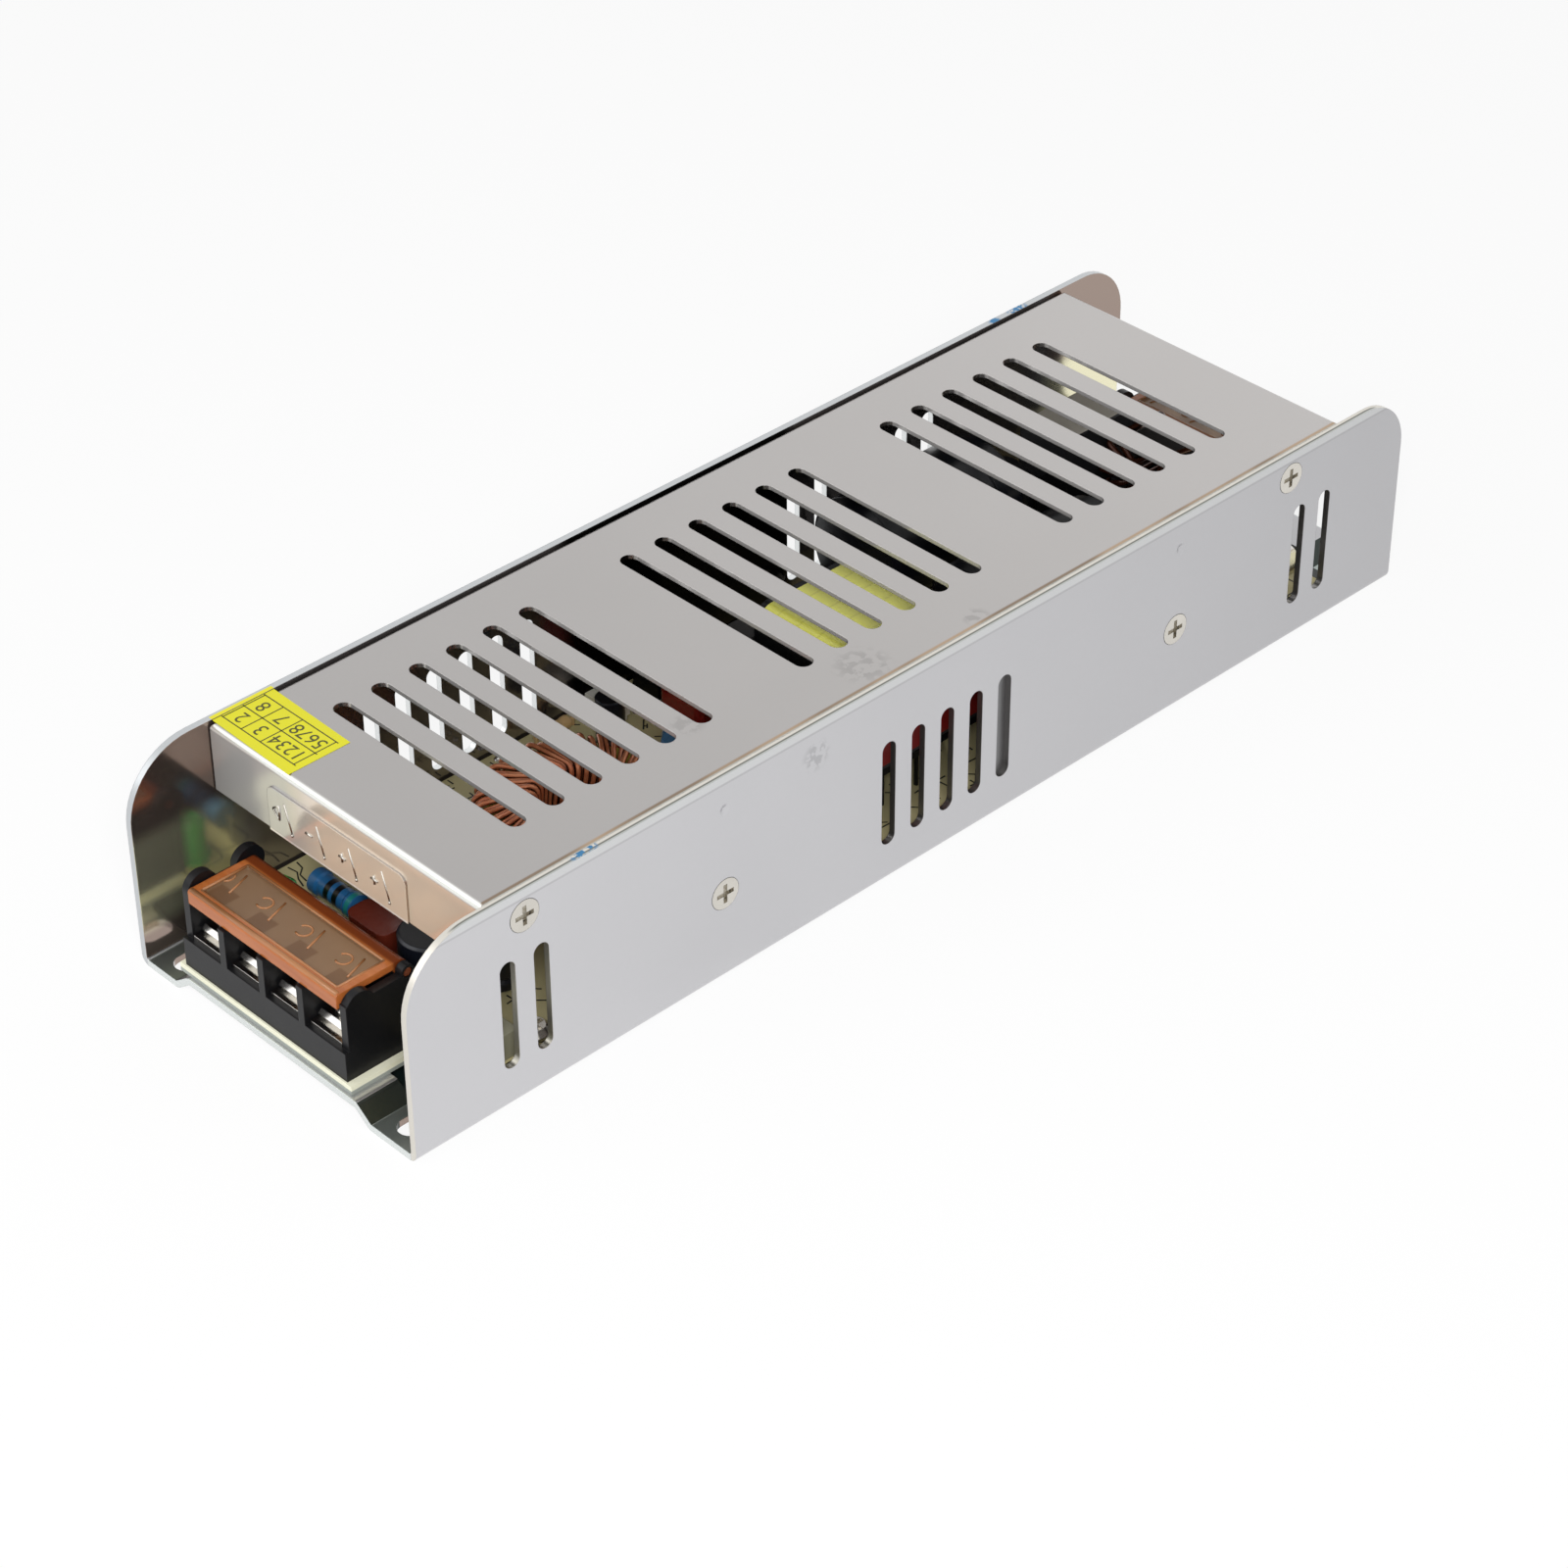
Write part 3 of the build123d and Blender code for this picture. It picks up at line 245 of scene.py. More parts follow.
# Front lip: painted highlights on its fold and along the foot of its panel, and a painted tan reflection of
# the amber cover
LIP_FOLD_PAINTED_HIGHLIGHT = (0.76, 0.77, 0.73, 1.0)
LIP_GREY = (0.52, 0.515, 0.5, 1.0)
LIP_PAINTED_TAN_REFLECTION = (0.8, 0.66, 0.52, 1.0)
LIP_FOOT_PAINTED_HIGHLIGHT = (0.95, 0.9, 0.85, 1.0)


# Sheet metal of the channel and the lid
def smudged(surface):
    """Patchy finger marks: 0 on clean metal, up to 1 in a mark."""
    smudge = 0.0
    for centre, radius in SMUDGES:
        mark = surface.spot([value * MM for value in centre], radius * MM)
        smudge = surface.calculate("MAXIMUM", smudge, mark)
    patchy = surface.above(surface.noise(1.6 * MM, 4.0), 0.46, 0.56)
    return surface.all_of(smudge, patchy)


def paint_inner_shade(surface, tone, inner):
    """The walls' inner faces: painted brown shade under the lid, painted black shade and dark reflection at
    mid length, and a painted reflection of the lit board at the open ends.
    """
    x, z = surface.axis("X"), surface.axis("Z")
    reach = surface.size(x)
    covered = surface.slope(reach, 88 * MM, 94 * MM, 0.7, 0.0)
    tone = surface.mix(surface.all_of(inner, covered), tone, INNER_PAINTED_SHADE)
    open_end = surface.all_of(inner, surface.above(reach, 90 * MM, 95 * MM))
    lit = surface.inside(z, 9 * MM, 22 * MM, 4 * MM)
    tone = surface.mix(open_end, tone, surface.mix(lit, OPEN_END_PAINTED_SHADE, OPEN_END_LIT))
    middle = surface.all_of(inner, surface.inside(x, -22 * MM, 26 * MM, 4 * MM))
    return surface.mix(middle, tone, INNER_PAINTED_DEEP_SHADE)


def sheet_metal(name, colour, ends, seams):
    """Satin rolled sheet with grain, clouds and smudges. Its tone is scaled from the first of ends at the
    output end to the last at the input end, a painted fall-off of light; the inner faces get painted shade
    and reflections, and seams adds the edges' colours, most of them painted highlights, shade and
    reflections."""
    surface = Surface(name)
    gradient_reach = 105 * MM
    grain = surface.noise(0.5 * MM, 2.0, (0.12, 1.0, 1.0))
    cloud = surface.noise(38 * MM, 3.0)
    speckle = surface.noise(0.9 * MM, 2.0)
    smudge = smudged(surface)
    side = surface.size(surface.axis("Y"))
    flat = surface.size(surface.axis("Y", surface.normal))
    within = surface.above(side, wall_inside + 0.3 * MM, wall_inside + 0.1 * MM)
    inner = surface.all_of(within, surface.above(flat, 0.8, 0.9))
    tone = surface.mix(cloud, shade(colour, 0.95), shade(colour, 1.05))
    tone = surface.mix(surface.span(speckle, 0.0, 0.5), tone, shade(colour, 0.97))
    # Painted fall-off of light: the tone is scaled from one end of the case to the other
    painted_light_falloff = surface.slope(surface.axis("X"), -gradient_reach, gradient_reach, *ends)
    tone = surface.scaled(tone, painted_light_falloff)
    tone = surface.mix(surface.span(smudge, 0.0, 0.5), tone, shade(colour, 0.66))
    tone = paint_inner_shade(surface, tone, inner)
    tone = seams(surface, tone, side, flat)
    lip = surface.all_of(surface.faces("X", 0.85, 0.95), surface.above(side, 32.2 * MM, 32.0 * MM))
    polish = surface.calculate("MAXIMUM", inner, lip)
    rough = surface.calculate("ADD", surface.span(cloud, 0.285, 0.33), surface.span(smudge, 0.0, 0.12))
    rough = surface.all_of(rough, surface.span(polish, 1.0, 0.4))
    normal = surface.bump(grain, 0.003 * MM, surface.rounded(0.22 * MM))
    metallic = surface.span(lip, 0.92, 0.5)
    return surface.finish(Base_Color=tone, Metallic=metallic, Roughness=rough, Normal=normal)


def wall_edges(surface, tone, side, flat):
    """The channel's rolled wall tops, with a painted highlight on them and painted shade in their crease,
    its cut edges, end faces and ledges, with a painted reflection on the floor and painted shade on the
    slanted flank.
    """
    height = surface.axis("Z")
    reach = surface.size(surface.axis("X"))
    right = surface.above(surface.axis("Y"), 1 * MM, -1 * MM)
    outside = surface.all_of(surface.above(side, 33.3 * MM, 33.4 * MM), surface.above(flat, 0.7, 0.8))
    rolled = surface.all_of(outside, surface.above(height, 37.6 * MM, 37.8 * MM))
    crease = surface.all_of(outside, surface.inside(height, 37.3 * MM, 37.5 * MM))
    # Painted highlight on the rolled top and painted shade in its crease
    tone = surface.mix(surface.span(rolled, 0.0, 0.4), tone, ROLLED_TOP_PAINTED_HIGHLIGHT)
    tone = surface.mix(surface.span(crease, 0.0, 0.3), tone, ROLLED_CREASE_PAINTED_SHADE)
    in_wall = surface.above(side, wall_inside - 0.1 * MM, wall_inside)
    cut = surface.all_of(in_wall, surface.above(flat, 0.7, 0.4))
    tone = surface.mix(cut, tone, cut_edges(surface, side, height, reach, right))
    off_wall = surface.above(side, wall_inside, wall_inside - 0.5 * MM)
    end = surface.all_of(surface.above(reach, 112.2 * MM, 112.4 * MM), off_wall)
    tone = surface.mix(end, tone, CHANNEL_END)
    # Painted reflection on the channel's floor
    upward = surface.above(surface.axis("Z", surface.normal), 0.9, 0.95)
    floor = surface.all_of(surface.above(height, 1.7 * MM, 1.5 * MM), upward)
    tone = surface.mix(floor, tone, CHANNEL_FLOOR_PAINTED_REFLECTION)
    # Painted shade on the right ledge's slanted flank
    slanted = surface.inside(flat, 0.3, 0.97, 0.02)
    low = surface.above(height, 4.2 * MM, 4.0 * MM)
    flank = surface.all_of(right, slanted, low, surface.above(side, 31.9 * MM, 31.6 * MM))
    return surface.mix(flank, tone, CHANNEL_FLANK_PAINTED_SHADE)


def cut_edges(surface, side, height, reach, right):
    """Colour of the cut edges: pale wall tops tinted bluish or warm by painted reflections, with a painted
    shade line and a shaded band on the right, slot rims with painted highlight and shade, bits of blue film
    and the sticker's end.
    """
    level = surface.above(surface.axis("Z", surface.normal), 0.95, 0.99)
    line = surface.inside(side, wall_inside + 0.66 * MM, wall_inside + 0.84 * MM)
    outer = surface.above(side, wall_inside + 0.84 * MM, wall_inside + 0.95 * MM)
    # Painted reflections tint the wall tops; painted shade on the right one's outer band and line
    edge = surface.mix(right, WALL_TOP_LEFT_PAINTED_REFLECTION, WALL_TOP_RIGHT_PAINTED_REFLECTION)
    edge = surface.mix(surface.all_of(right, level, outer), edge, WALL_TOP_OUTER_PAINTED_SHADE)
    edge = surface.mix(surface.all_of(right, level, line), edge, WALL_TOP_PAINTED_SHADE_LINE)
    # Painted light and shade on the slots' rims
    near = surface.above(surface.axis("X"), -78 * MM, -82 * MM)
    rim = surface.mix(right, SLOT_RIM_LEFT_PAINTED_HIGHLIGHT, surface.mix(near, SLOT_RIM_RIGHT_PAINTED_SHADE, SLOT_RIM_NEAR_PAINTED_LIGHT))
    slot = surface.all_of(surface.above(height, 30 * MM, 29 * MM), surface.above(reach, 99 * MM, 98 * MM))
    edge = surface.mix(slot, edge, rim)
    edge = surface.mix(film_remnants(surface), edge, FILM_BLUE)
    along = surface.inside(surface.axis("X"), *STICKER_X)
    across = surface.inside(surface.axis("Y"), STICKER_Y[0], STICKER_Y[1] + STICKER_RUN_ON)
    return surface.mix(surface.all_of(along, level, across), edge, PAPER_ON_WALL)


def film_remnants(surface):
    """Ragged bits of the blue protective film, left on the walls' top edges."""
    ragged = surface.above(surface.noise(0.9 * MM, 3.0), 0.44, 0.5)
    bits = 0.0
    for x, y, reach in FILM_BITS:
        bit = surface.spot((x * MM, y * MM, chassis.high.z), reach * MM)
        bits = surface.calculate("MAXIMUM", bits, bit)
    return surface.all_of(bits, ragged)


def lid_edges(surface, tone, side, flat):
    """Painted reflections along the lid's long bends, brownish on the right and bluish on the left, a
    painted highlight on its right rim, then its lip.
    """
    half = cover.high.y
    right = surface.above(surface.axis("Y"), 1 * MM, -1 * MM)
    upper = surface.above(flat, 0.9, 0.8)
    line_width = surface.span(right, 0.55 * MM, 0.95 * MM)
    inward = surface.calculate("SUBTRACT", half, side)
    within = surface.above(surface.calculate("SUBTRACT", line_width, inward), 0.0, 0.25 * MM)
    bend = surface.all_of(within, upper)
    # Painted reflection along each long bend
    along = surface.above(surface.noise(24 * MM, 2.0), 0.4, 0.6)
    line = surface.mix(right, BEND_PAINTED_BLUE_REFLECTION, surface.mix(along, *BEND_PAINTED_BROWN_REFLECTION))
    tone = surface.mix(surface.span(bend, 0.0, 0.85), tone, line)
    # Painted highlight on the lid's outermost right edge
    outermost = surface.above(side, half - 0.5 * MM, half - 0.35 * MM)
    tone = surface.mix(surface.all_of(right, outermost, upper), tone, LID_RIM_PAINTED_HIGHLIGHT)
    return lip_painted_light(surface, tone)


def lip_painted_light(surface, tone):
    """The lid's front lip: a painted highlight on the bend, grey on the left and a painted tan reflection
    of the amber cover on the right, and a painted highlight along the foot of its panel.
    """
    x, y, z = surface.axis("X"), surface.axis("Y"), surface.axis("Z")
    front, top, foot_line = cover.low.x, cover.high.z, cover.low.z
    over = surface.above(x, front + 1.2 * MM, front + 0.7 * MM)
    # Painted highlight along the front fold
    fold = surface.all_of(over, surface.above(z, top - 1.3 * MM, top - 0.8 * MM))
    tone = surface.mix(fold, tone, LIP_FOLD_PAINTED_HIGHLIGHT)
    under = surface.above(z, top - 1.0 * MM, top - 1.5 * MM)
    # Painted reflection of the amber cover, growing towards the right
    tan = surface.slope(y, 14 * MM, 4 * MM, 0.0, 1.0)
    lip = surface.all_of(surface.faces("X", 0.85, 0.95), under)
    tone = surface.mix(lip, tone, surface.mix(tan, LIP_GREY, LIP_PAINTED_TAN_REFLECTION))
    # Painted highlight along the foot of the panel
    panel = surface.inside(y, -14.8 * MM, 17.8 * MM)
    foot = surface.all_of(panel, surface.above(z, foot_line + 0.45 * MM, foot_line + 0.3 * MM))
    return surface.mix(foot, tone, LIP_FOOT_PAINTED_HIGHLIGHT)


# Finishes of the other parts
def metal(name, colour, roughness):
    """Plain metal with a slightly uneven tone and softened edges."""
    surface = Surface(name)
    cloud = surface.noise(4 * MM, 4.0)
    fine = surface.noise(0.6 * MM, 2.0)
    tone = surface.mix(cloud, shade(colour, 0.82), colour)
    rough = surface.span(cloud, roughness * 0.8, roughness * 1.3)
    normal = surface.bump(fine, 0.006 * MM, surface.rounded(0.12 * MM))
    return surface.finish(Base_Color=tone, Metallic=1.0, Roughness=rough, Normal=normal)


def moulded(name, colour, roughness=0.42, variation=0.12, bump_depth=0.01, edge=0.15, **extra):
    """Moulded plastic, lacquer or resin: even tone with faint mottling and a fine skin."""
    surface = Surface(name)
    cloud = surface.noise(5 * MM, 4.0)
    skin = surface.noise(0.35 * MM, 2.0)
    tone = surface.mix(cloud, shade(colour, 1 - variation), shade(colour, 1 + variation))
    rough = surface.span(cloud, roughness * 0.85, roughness * 1.15)
    normal = surface.bump(skin, bump_depth * MM, surface.rounded(edge * MM))
    return surface.finish(Base_Color=tone, Roughness=rough, Normal=normal, **extra)


def pole_places(box, poles):
    """The poles' middles across the case, evenly about the middle of a terminal cover."""
    return [box.centre.y + (i - (poles - 1) / 2) * POLE_PITCH for i in range(poles)]


def amber(name, node, poles):
    """Hinged cover: clear orange rim round a frosted brown panel, with a dark hinge, and painted shade
    where the dark terminal cells lie under the panel.
    """
    surface = Surface(name)
    box = Box(node)
    rim = 1.7 * MM
    pin = COVER_PIN
    hinge_strip = 3.0 * MM
    cell_half = 2.0 * MM
    soft = 0.4 * MM
    y = surface.axis("Y")
    across = surface.inside(y, box.low.y + pin + rim, box.high.y - pin - rim)
    reach = surface.size(surface.axis("X"))
    near = min(abs(box.low.x), abs(box.high.x))
    far = max(abs(box.low.x), abs(box.high.x))
    panel = surface.all_of(across, surface.inside(reach, near + hinge_strip, far - rim))
    hinge = surface.above(reach, near + hinge_strip, near + 2.2 * MM)
    # Painted shade over the terminal cells that show dark through the panel
    cell = 0.0
    for pole in pole_places(box, poles):
        centre = pole - 0.6 * MM
        one_cell = surface.inside(y, centre - cell_half, centre + cell_half, soft)
        cell = surface.calculate("MAXIMUM", cell, one_cell)
    cell_row = surface.inside(reach, far - 4.9 * MM, far - 2.1 * MM, soft)
    cell = surface.all_of(cell, panel, cell_row)
    cloud = surface.noise(7 * MM, 3.0)
    streak = surface.noise(1.2 * MM, 2.0, (1.0, 0.12, 1.0))
    tone = surface.mix(streak, paint(172, 90, 38), paint(210, 128, 68))
    frosted = surface.mix(cloud, paint(150, 118, 88), paint(168, 132, 98))
    tone = surface.mix(panel, tone, frosted)
    tone = surface.mix(surface.span(cell, 0.0, 0.6), tone, paint(116, 76, 44))
    tone = surface.mix(surface.span(hinge, 0.0, 0.9), tone, paint(112, 48, 20))
    rough = surface.span(panel, 0.12, 0.3)
    clear = surface.span(panel, 0.3, 0.5)
    normal = surface.bump(surface.noise(0.5 * MM, 2.0), 0.006 * MM, surface.rounded(0.3 * MM))
    return surface.finish(
        Base_Color=tone, Roughness=rough, Transmission_Weight=clear, IOR=1.45, Normal=normal
    )


def laminate():
    """Circuit board: cream face, painted darker and more olive as shade where the lid covers it and pale at
    the open ends, with painted shade on the bottom part of its end faces, and a dark green underside.
    """
    surface = Surface("board_laminate")
    cloud = surface.noise(12 * MM, 4.0)
    weave = surface.noise(0.5 * MM, 1.0, (1.0, 0.3, 1.0))
    # Painted shade: the face is darker and more olive under the lid than at the open ends
    face = surface.mix(cloud, paint(190, 180, 134), paint(210, 200, 154))
    ends = surface.above(surface.size(surface.axis("X")), 97 * MM, 99 * MM)
    face = surface.mix(ends, face, surface.mix(cloud, paint(224, 223, 198), paint(232, 231, 210)))
    # Painted shade on the bottom part of the board's end faces
    end_face_shade = surface.all_of(ends, surface.above(surface.axis("Z"), 4.4 * MM, 4.2 * MM))
    face = surface.mix(end_face_shade, face, paint(150, 156, 150))
    under = surface.above(surface.axis("Z", surface.normal), -0.4, -0.6)
    tone = surface.mix(under, face, paint(28, 62, 44))
    normal = surface.bump(weave, 0.006 * MM)
    rough = surface.span(under, 0.5, 0.25)
    return surface.finish(Base_Color=tone, Roughness=rough, Normal=normal)


def wound_tape(name, colour, pitch, letter):
    """Insulating tape wrapped round a winding: its edges are faint lines, and its sides towards the core's
    legs are painted black as shade.
    """
    surface = Surface(name)
    turns = surface.calculate("MULTIPLY", surface.axis(letter), math.tau / pitch)
    ridge = surface.calculate("SINE", turns)
    crease = surface.noise(2.4 * MM, 4.0, (1.0, 0.3, 1.0))
    tone = surface.mix(crease, shade(colour, 0.92), shade(colour, 1.12))
    tone = surface.mix(surface.span(surface.above(ridge, 0.92, 1.0), 0.0, 0.5), tone, shade(colour, 0.75))
    # Painted shade: the sides facing the core's legs are black
    tone = surface.mix(surface.faces("X", 0.8, 0.9), tone, paint(22, 22, 22))
    normal = surface.bump(surface.calculate("ADD", surface.span(ridge, 0.0, 0.2), crease), 0.1 * MM)
    return surface.finish(
        Base_Color=tone, Roughness=0.3, Normal=normal, Coat_Weight=0.4, Coat_Roughness=0.2
    )


def enamelled_wire(name, dark, bright):
    """Copper wire under clear amber enamel, with painted shade in the gaps between its turns."""
    surface = Surface(name)
    cloud = surface.noise(3 * MM, 3.0)
    tone = surface.mix(cloud, dark, bright)
    # Painted shade: occlusion darkens the wire where its turns crowd each other
    occlusion = surface.add("ShaderNodeAmbientOcclusion", {"Distance": 0.8 * MM}, samples=6)
    open_share = occlusion.outputs["AO"]
    tone = surface.mix(surface.above(open_share, 0.4, 0.9), shade(dark, 0.08), tone)
    normal = surface.bump(surface.noise(0.6 * MM, 2.0), 0.01 * MM)
    return surface.finish(
        Base_Color=tone, Metallic=0.5, Roughness=0.24, Normal=normal, Coat_Weight=0.6, Coat_Roughness=0.12
    )


def can_sleeve(name, colour, top_axis, end_colour, bare):
    """Shrink sleeve of a can with the end inside its shoulder: bare aluminium where bare is 1."""
    surface = Surface(name)
    cloud = surface.noise(6 * MM, 3.0)
    end = surface.above(surface.axis(top_axis, surface.normal), 0.9, 0.97)
    tone = surface.mix(cloud, shade(colour, 0.85), shade(colour, 1.2))
    tone = surface.mix(end, tone, end_colour)
    normal = surface.bump(surface.noise(1.2 * MM, 2.0), 0.02 * MM, surface.rounded(0.3 * MM))
    metallic = surface.span(end, 0.0, bare)
    return surface.finish(Base_Color=tone, Roughness=0.3, Metallic=metallic, Normal=normal)


def banded_resistor(name, colour, node, bands):
    """Coated resistor body along Y with bare end wires. A band is its place, its width and its colour."""
    surface = Surface(name)
    box = Box(node)
    offset = surface.calculate("SUBTRACT", surface.axis("Y"), box.centre.y)
    half = box.size.y / 2
    wire = surface.above(surface.size(offset), half - 1.1 * MM, half - 1.0 * MM)
    cloud = surface.noise(2.5 * MM, 3.0)
    tone = surface.mix(cloud, shade(colour, 0.85), shade(colour, 1.15))
    for place, band_width, band_colour in bands:
        band = surface.inside(offset, place - band_width / 2, place + band_width / 2)
        tone = surface.mix(band, tone, band_colour)
    tone = surface.mix(wire, tone, paint(190, 188, 182))
    return surface.finish(
        Base_Color=tone, Roughness=0.35, Metallic=wire, Coat_Weight=0.2, Coat_Roughness=0.2
    )


def dipped_film():
    """Dipped coating of the film capacitors: brown at the output end, redder further in."""
    surface = Surface("red_coating")
    further = surface.above(surface.axis("X"), -60 * MM, -50 * MM)
    tone = surface.mix(further, paint(92, 34, 22), paint(158, 24, 22))
    tone = surface.scaled(tone, surface.span(surface.noise(5 * MM, 4.0), 0.85, 1.15))
    normal = surface.bump(surface.noise(0.8 * MM, 2.0), 0.04 * MM, surface.rounded(0.3 * MM))
    return surface.finish(
        Base_Color=tone, Roughness=0.24, Normal=normal, Coat_Weight=0.4, Coat_Roughness=0.1
    )


def boxed_film():
    """Boxed capacitor: resin painted pale on its top as light and dark on its sides as shade."""
    surface = Surface("beige_plastic")
    top = surface.above(surface.axis("Z", surface.normal), 0.7, 0.8)
    # Painted light on the top face and painted shade on the sides
    tone = surface.mix(top, paint(44, 44, 46), paint(202, 196, 184))
    tone = surface.scaled(tone, surface.span(surface.noise(5 * MM, 4.0), 0.88, 1.06))
    normal = surface.bump(surface.noise(0.4 * MM, 2.0), 0.01 * MM, surface.rounded(0.25 * MM))
    return surface.finish(Base_Color=tone, Roughness=0.4, Normal=normal)


def sintered(name, colour, roughness):
    """Pressed and fired core material, matt with a fine grain."""
    surface = Surface(name)
    grain = surface.noise(0.3 * MM, 3.0)
    cloud = surface.noise(6 * MM, 3.0)
    tone = surface.mix(cloud, shade(colour, 0.85), shade(colour, 1.2))
    normal = surface.bump(grain, 0.03 * MM, surface.rounded(0.2 * MM))
    return surface.finish(Base_Color=tone, Roughness=roughness, Normal=normal)


def clear_tube():
    """Glass of the fuse."""
    surface = Surface("fuse_glass")
    rough = surface.span(surface.noise(2 * MM, 2.0), 0.02, 0.08)
    return surface.finish(
        Base_Color=(0.95, 0.97, 0.97, 1.0), Roughness=rough, Transmission_Weight=0.92, IOR=1.3
    )


materials = {
    # The last pair of numbers scales each sheet's tone along the case: a painted fall-off of light
    "cover": sheet_metal("coated_sheet_lid", (0.5, 0.482, 0.472, 1.0), (0.84, 1.06), lid_edges),
    "chassis": sheet_metal("coated_sheet", (0.548, 0.545, 0.56, 1.0), (1.13, 0.88), wall_edges),
    "screw": metal("screw_steel", (0.72, 0.69, 0.63, 1.0), 0.2),
    "plated": metal("plated_steel", (0.78, 0.76, 0.72, 1.0), 0.18),
    "heatsink": metal("heatsink_aluminium", (0.3, 0.3, 0.305, 1.0), 0.4),
    "black": moulded("black_plastic", paint(18, 18, 20), 0.34, Specular_IOR_Level=0.22),
    "dc_amber": amber("amber_plastic", "dc_terminal_cover", 4),
    "ac_amber": amber("amber_plastic_input", "ac_terminal_cover", 3),
    # The ridges are paler than the cover's own plastic: a painted highlight on the moulded relief
    "amber_ridge": moulded(
        "amber_plastic_ridge", paint(182, 126, 82), 0.2, Transmission_Weight=0.3, IOR=1.45
    ),
    "board": laminate(),
    "film": moulded("insulation_film", paint(24, 34, 32), 0.3, bump_depth=0.02),
    "led": moulded("green_lens", paint(40, 190, 70), 0.15, Transmission_Weight=0.4, IOR=1.45),
    "trimmer": moulded("trimmer_body", paint(134, 132, 112), 0.4),
    "white": moulded("white_plastic", paint(226, 224, 214), 0.45),
    # The upright cans' ends are painted almost black instead of bare aluminium: painted shade
    "sleeve": can_sleeve("capacitor_sleeve", paint(18, 20, 28), "Z", paint(22, 22, 24), 0.0),
    "bulk_sleeve": can_sleeve(
        "capacitor_sleeve_lying", paint(18, 20, 26), "X", paint(196, 198, 200), 1.0
    ),
    "blue_coating": moulded(
        "blue_coating", paint(72, 132, 184), 0.28, Coat_Weight=0.5, Coat_Roughness=0.1
    ),
    "load": banded_resistor(
        "blue_coating_banded",
        paint(36, 92, 140),
        "load_resistor",
        (
            (-1.2 * MM, 1.0 * MM, paint(12, 12, 14)),
            (0.9 * MM, 1.0 * MM, paint(12, 12, 14)),
            (-4.4 * MM, 0.8 * MM, paint(30, 120, 118)),
        ),
    ),
    "snubber": banded_resistor(
        "grey_coating",
        paint(120, 122, 124),
        "snubber_resistor",
        (
            (-4.2 * MM, 1.1 * MM, paint(150, 60, 30)),
            (-1.6 * MM, 1.1 * MM, paint(20, 20, 22)),
            (1.0 * MM, 1.1 * MM, paint(190, 110, 40)),
            (4.2 * MM, 1.1 * MM, paint(180, 150, 70)),
        ),
    ),
    "tan": moulded("tan_coating", paint(206, 172, 122), 0.3),
    "red": dipped_film(),
    "black_coating": moulded("black_coating", paint(26, 26, 28), 0.3, bump_depth=0.04),
    "beige": boxed_film(),
    "powder_core": sintered("iron_powder_core", paint(168, 150, 60), 0.45),
    "ferrite": sintered("ferrite", paint(52, 50, 50), 0.55),
    "copper": enamelled_wire("enamelled_copper", paint(196, 84, 44), paint(255, 178, 128)),
    # The choke's copper is given dark tones as painted shade, for it stands in shadow inside the case
    "choke_copper_painted_shade": enamelled_wire("enamelled_copper_painted_shade", paint(58, 30, 20), paint(100, 52, 34)),
    "tape": wound_tape("yellow_tape", paint(252, 249, 112), 4.6 * MM, "Y"),
    "red_tape": moulded("red_tape", paint(150, 34, 30), 0.3, Coat_Weight=0.4, Coat_Roughness=0.15),
    "glass": clear_tube(),
}

DRESS = {
    "cover": ("cover",),
    "chassis": ("chassis",),
    "screw": (
        "cover_screws",
        "heatsink_screws",
        "board_screws",
        "device_screws",
        "dc_terminal_screws",
        "ac_terminal_screws",
    ),
    "plated": (
        "dc_clamp_plates",
        "ac_clamp_plates",
        "dc_terminal_contacts",
        "ac_terminal_contacts",
        "fuse_caps",
        "fuse_clips",
    ),
    "heatsink": ("rectifier_heatsink", "transistor_heatsink"),
    "black": (
        "dc_terminal_housing",
        "ac_terminal_housing",
        "line_choke_base",
        "output_rectifiers",
        "switching_transistors",
        "control_chip",
        "bridge_rectifier",
        # The transformer's bobbin takes the black plastic as painted shade, for it lies in shadow under the
        # core
        "transformer_bobbin",
    ),
    "dc_amber": ("dc_terminal_cover",),
    "ac_amber": ("ac_terminal_cover",),
    "board": ("circuit_board",),
    "film": ("insulation_sheet",),
    "led": ("power_led",),
    "trimmer": ("voltage_trimmer",),
    "white": ("trimmer_rotor", "optocouplers"),
    "sleeve": ("output_capacitors", "supply_capacitors"),
    "bulk_sleeve": ("bulk_capacitors",),
    "blue_coating": ("y_capacitors",),
    "load": ("load_resistor",),
    "snubber": ("snubber_resistor",),
    "tan": ("small_resistors",),
    "red": ("film_capacitors",),
    "black_coating": ("inrush_thermistor", "surge_varistor"),
    "beige": ("x_capacitor",),
    "powder_core": ("output_inductor_core",),
    "ferrite": ("transformer_core", "drive_transformer_core", "line_choke_core"),
    "copper": ("output_inductor_winding", "line_choke_windings", "drive_transformer_winding"),
    "tape": ("transformer_winding",),
    "red_tape": ("transformer_band",),
    "glass": ("fuse_tube",),
}

for finish, names in DRESS.items():
    for name in names:
        for slot in nodes[name].material_slots:
            slot.material = materials[finish]


# Small pieces that the frame leaves to the scene
def piece(name, mesh, material, body="root", smooth=True):
    """Puts a finished bmesh into the scene as a piece that rides on a body."""
    data = bpy.data.meshes.new(name)
    bmesh.ops.recalc_face_normals(mesh, faces=mesh.faces)
    mesh.to_mesh(data)
    mesh.free()
    for polygon in data.polygons:
        polygon.use_smooth = smooth
    shown = bpy.data.objects.new(name, data)
    bpy.context.scene.collection.objects.link(shown)
    data.materials.append(material)
    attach(shown, body)
    return shown


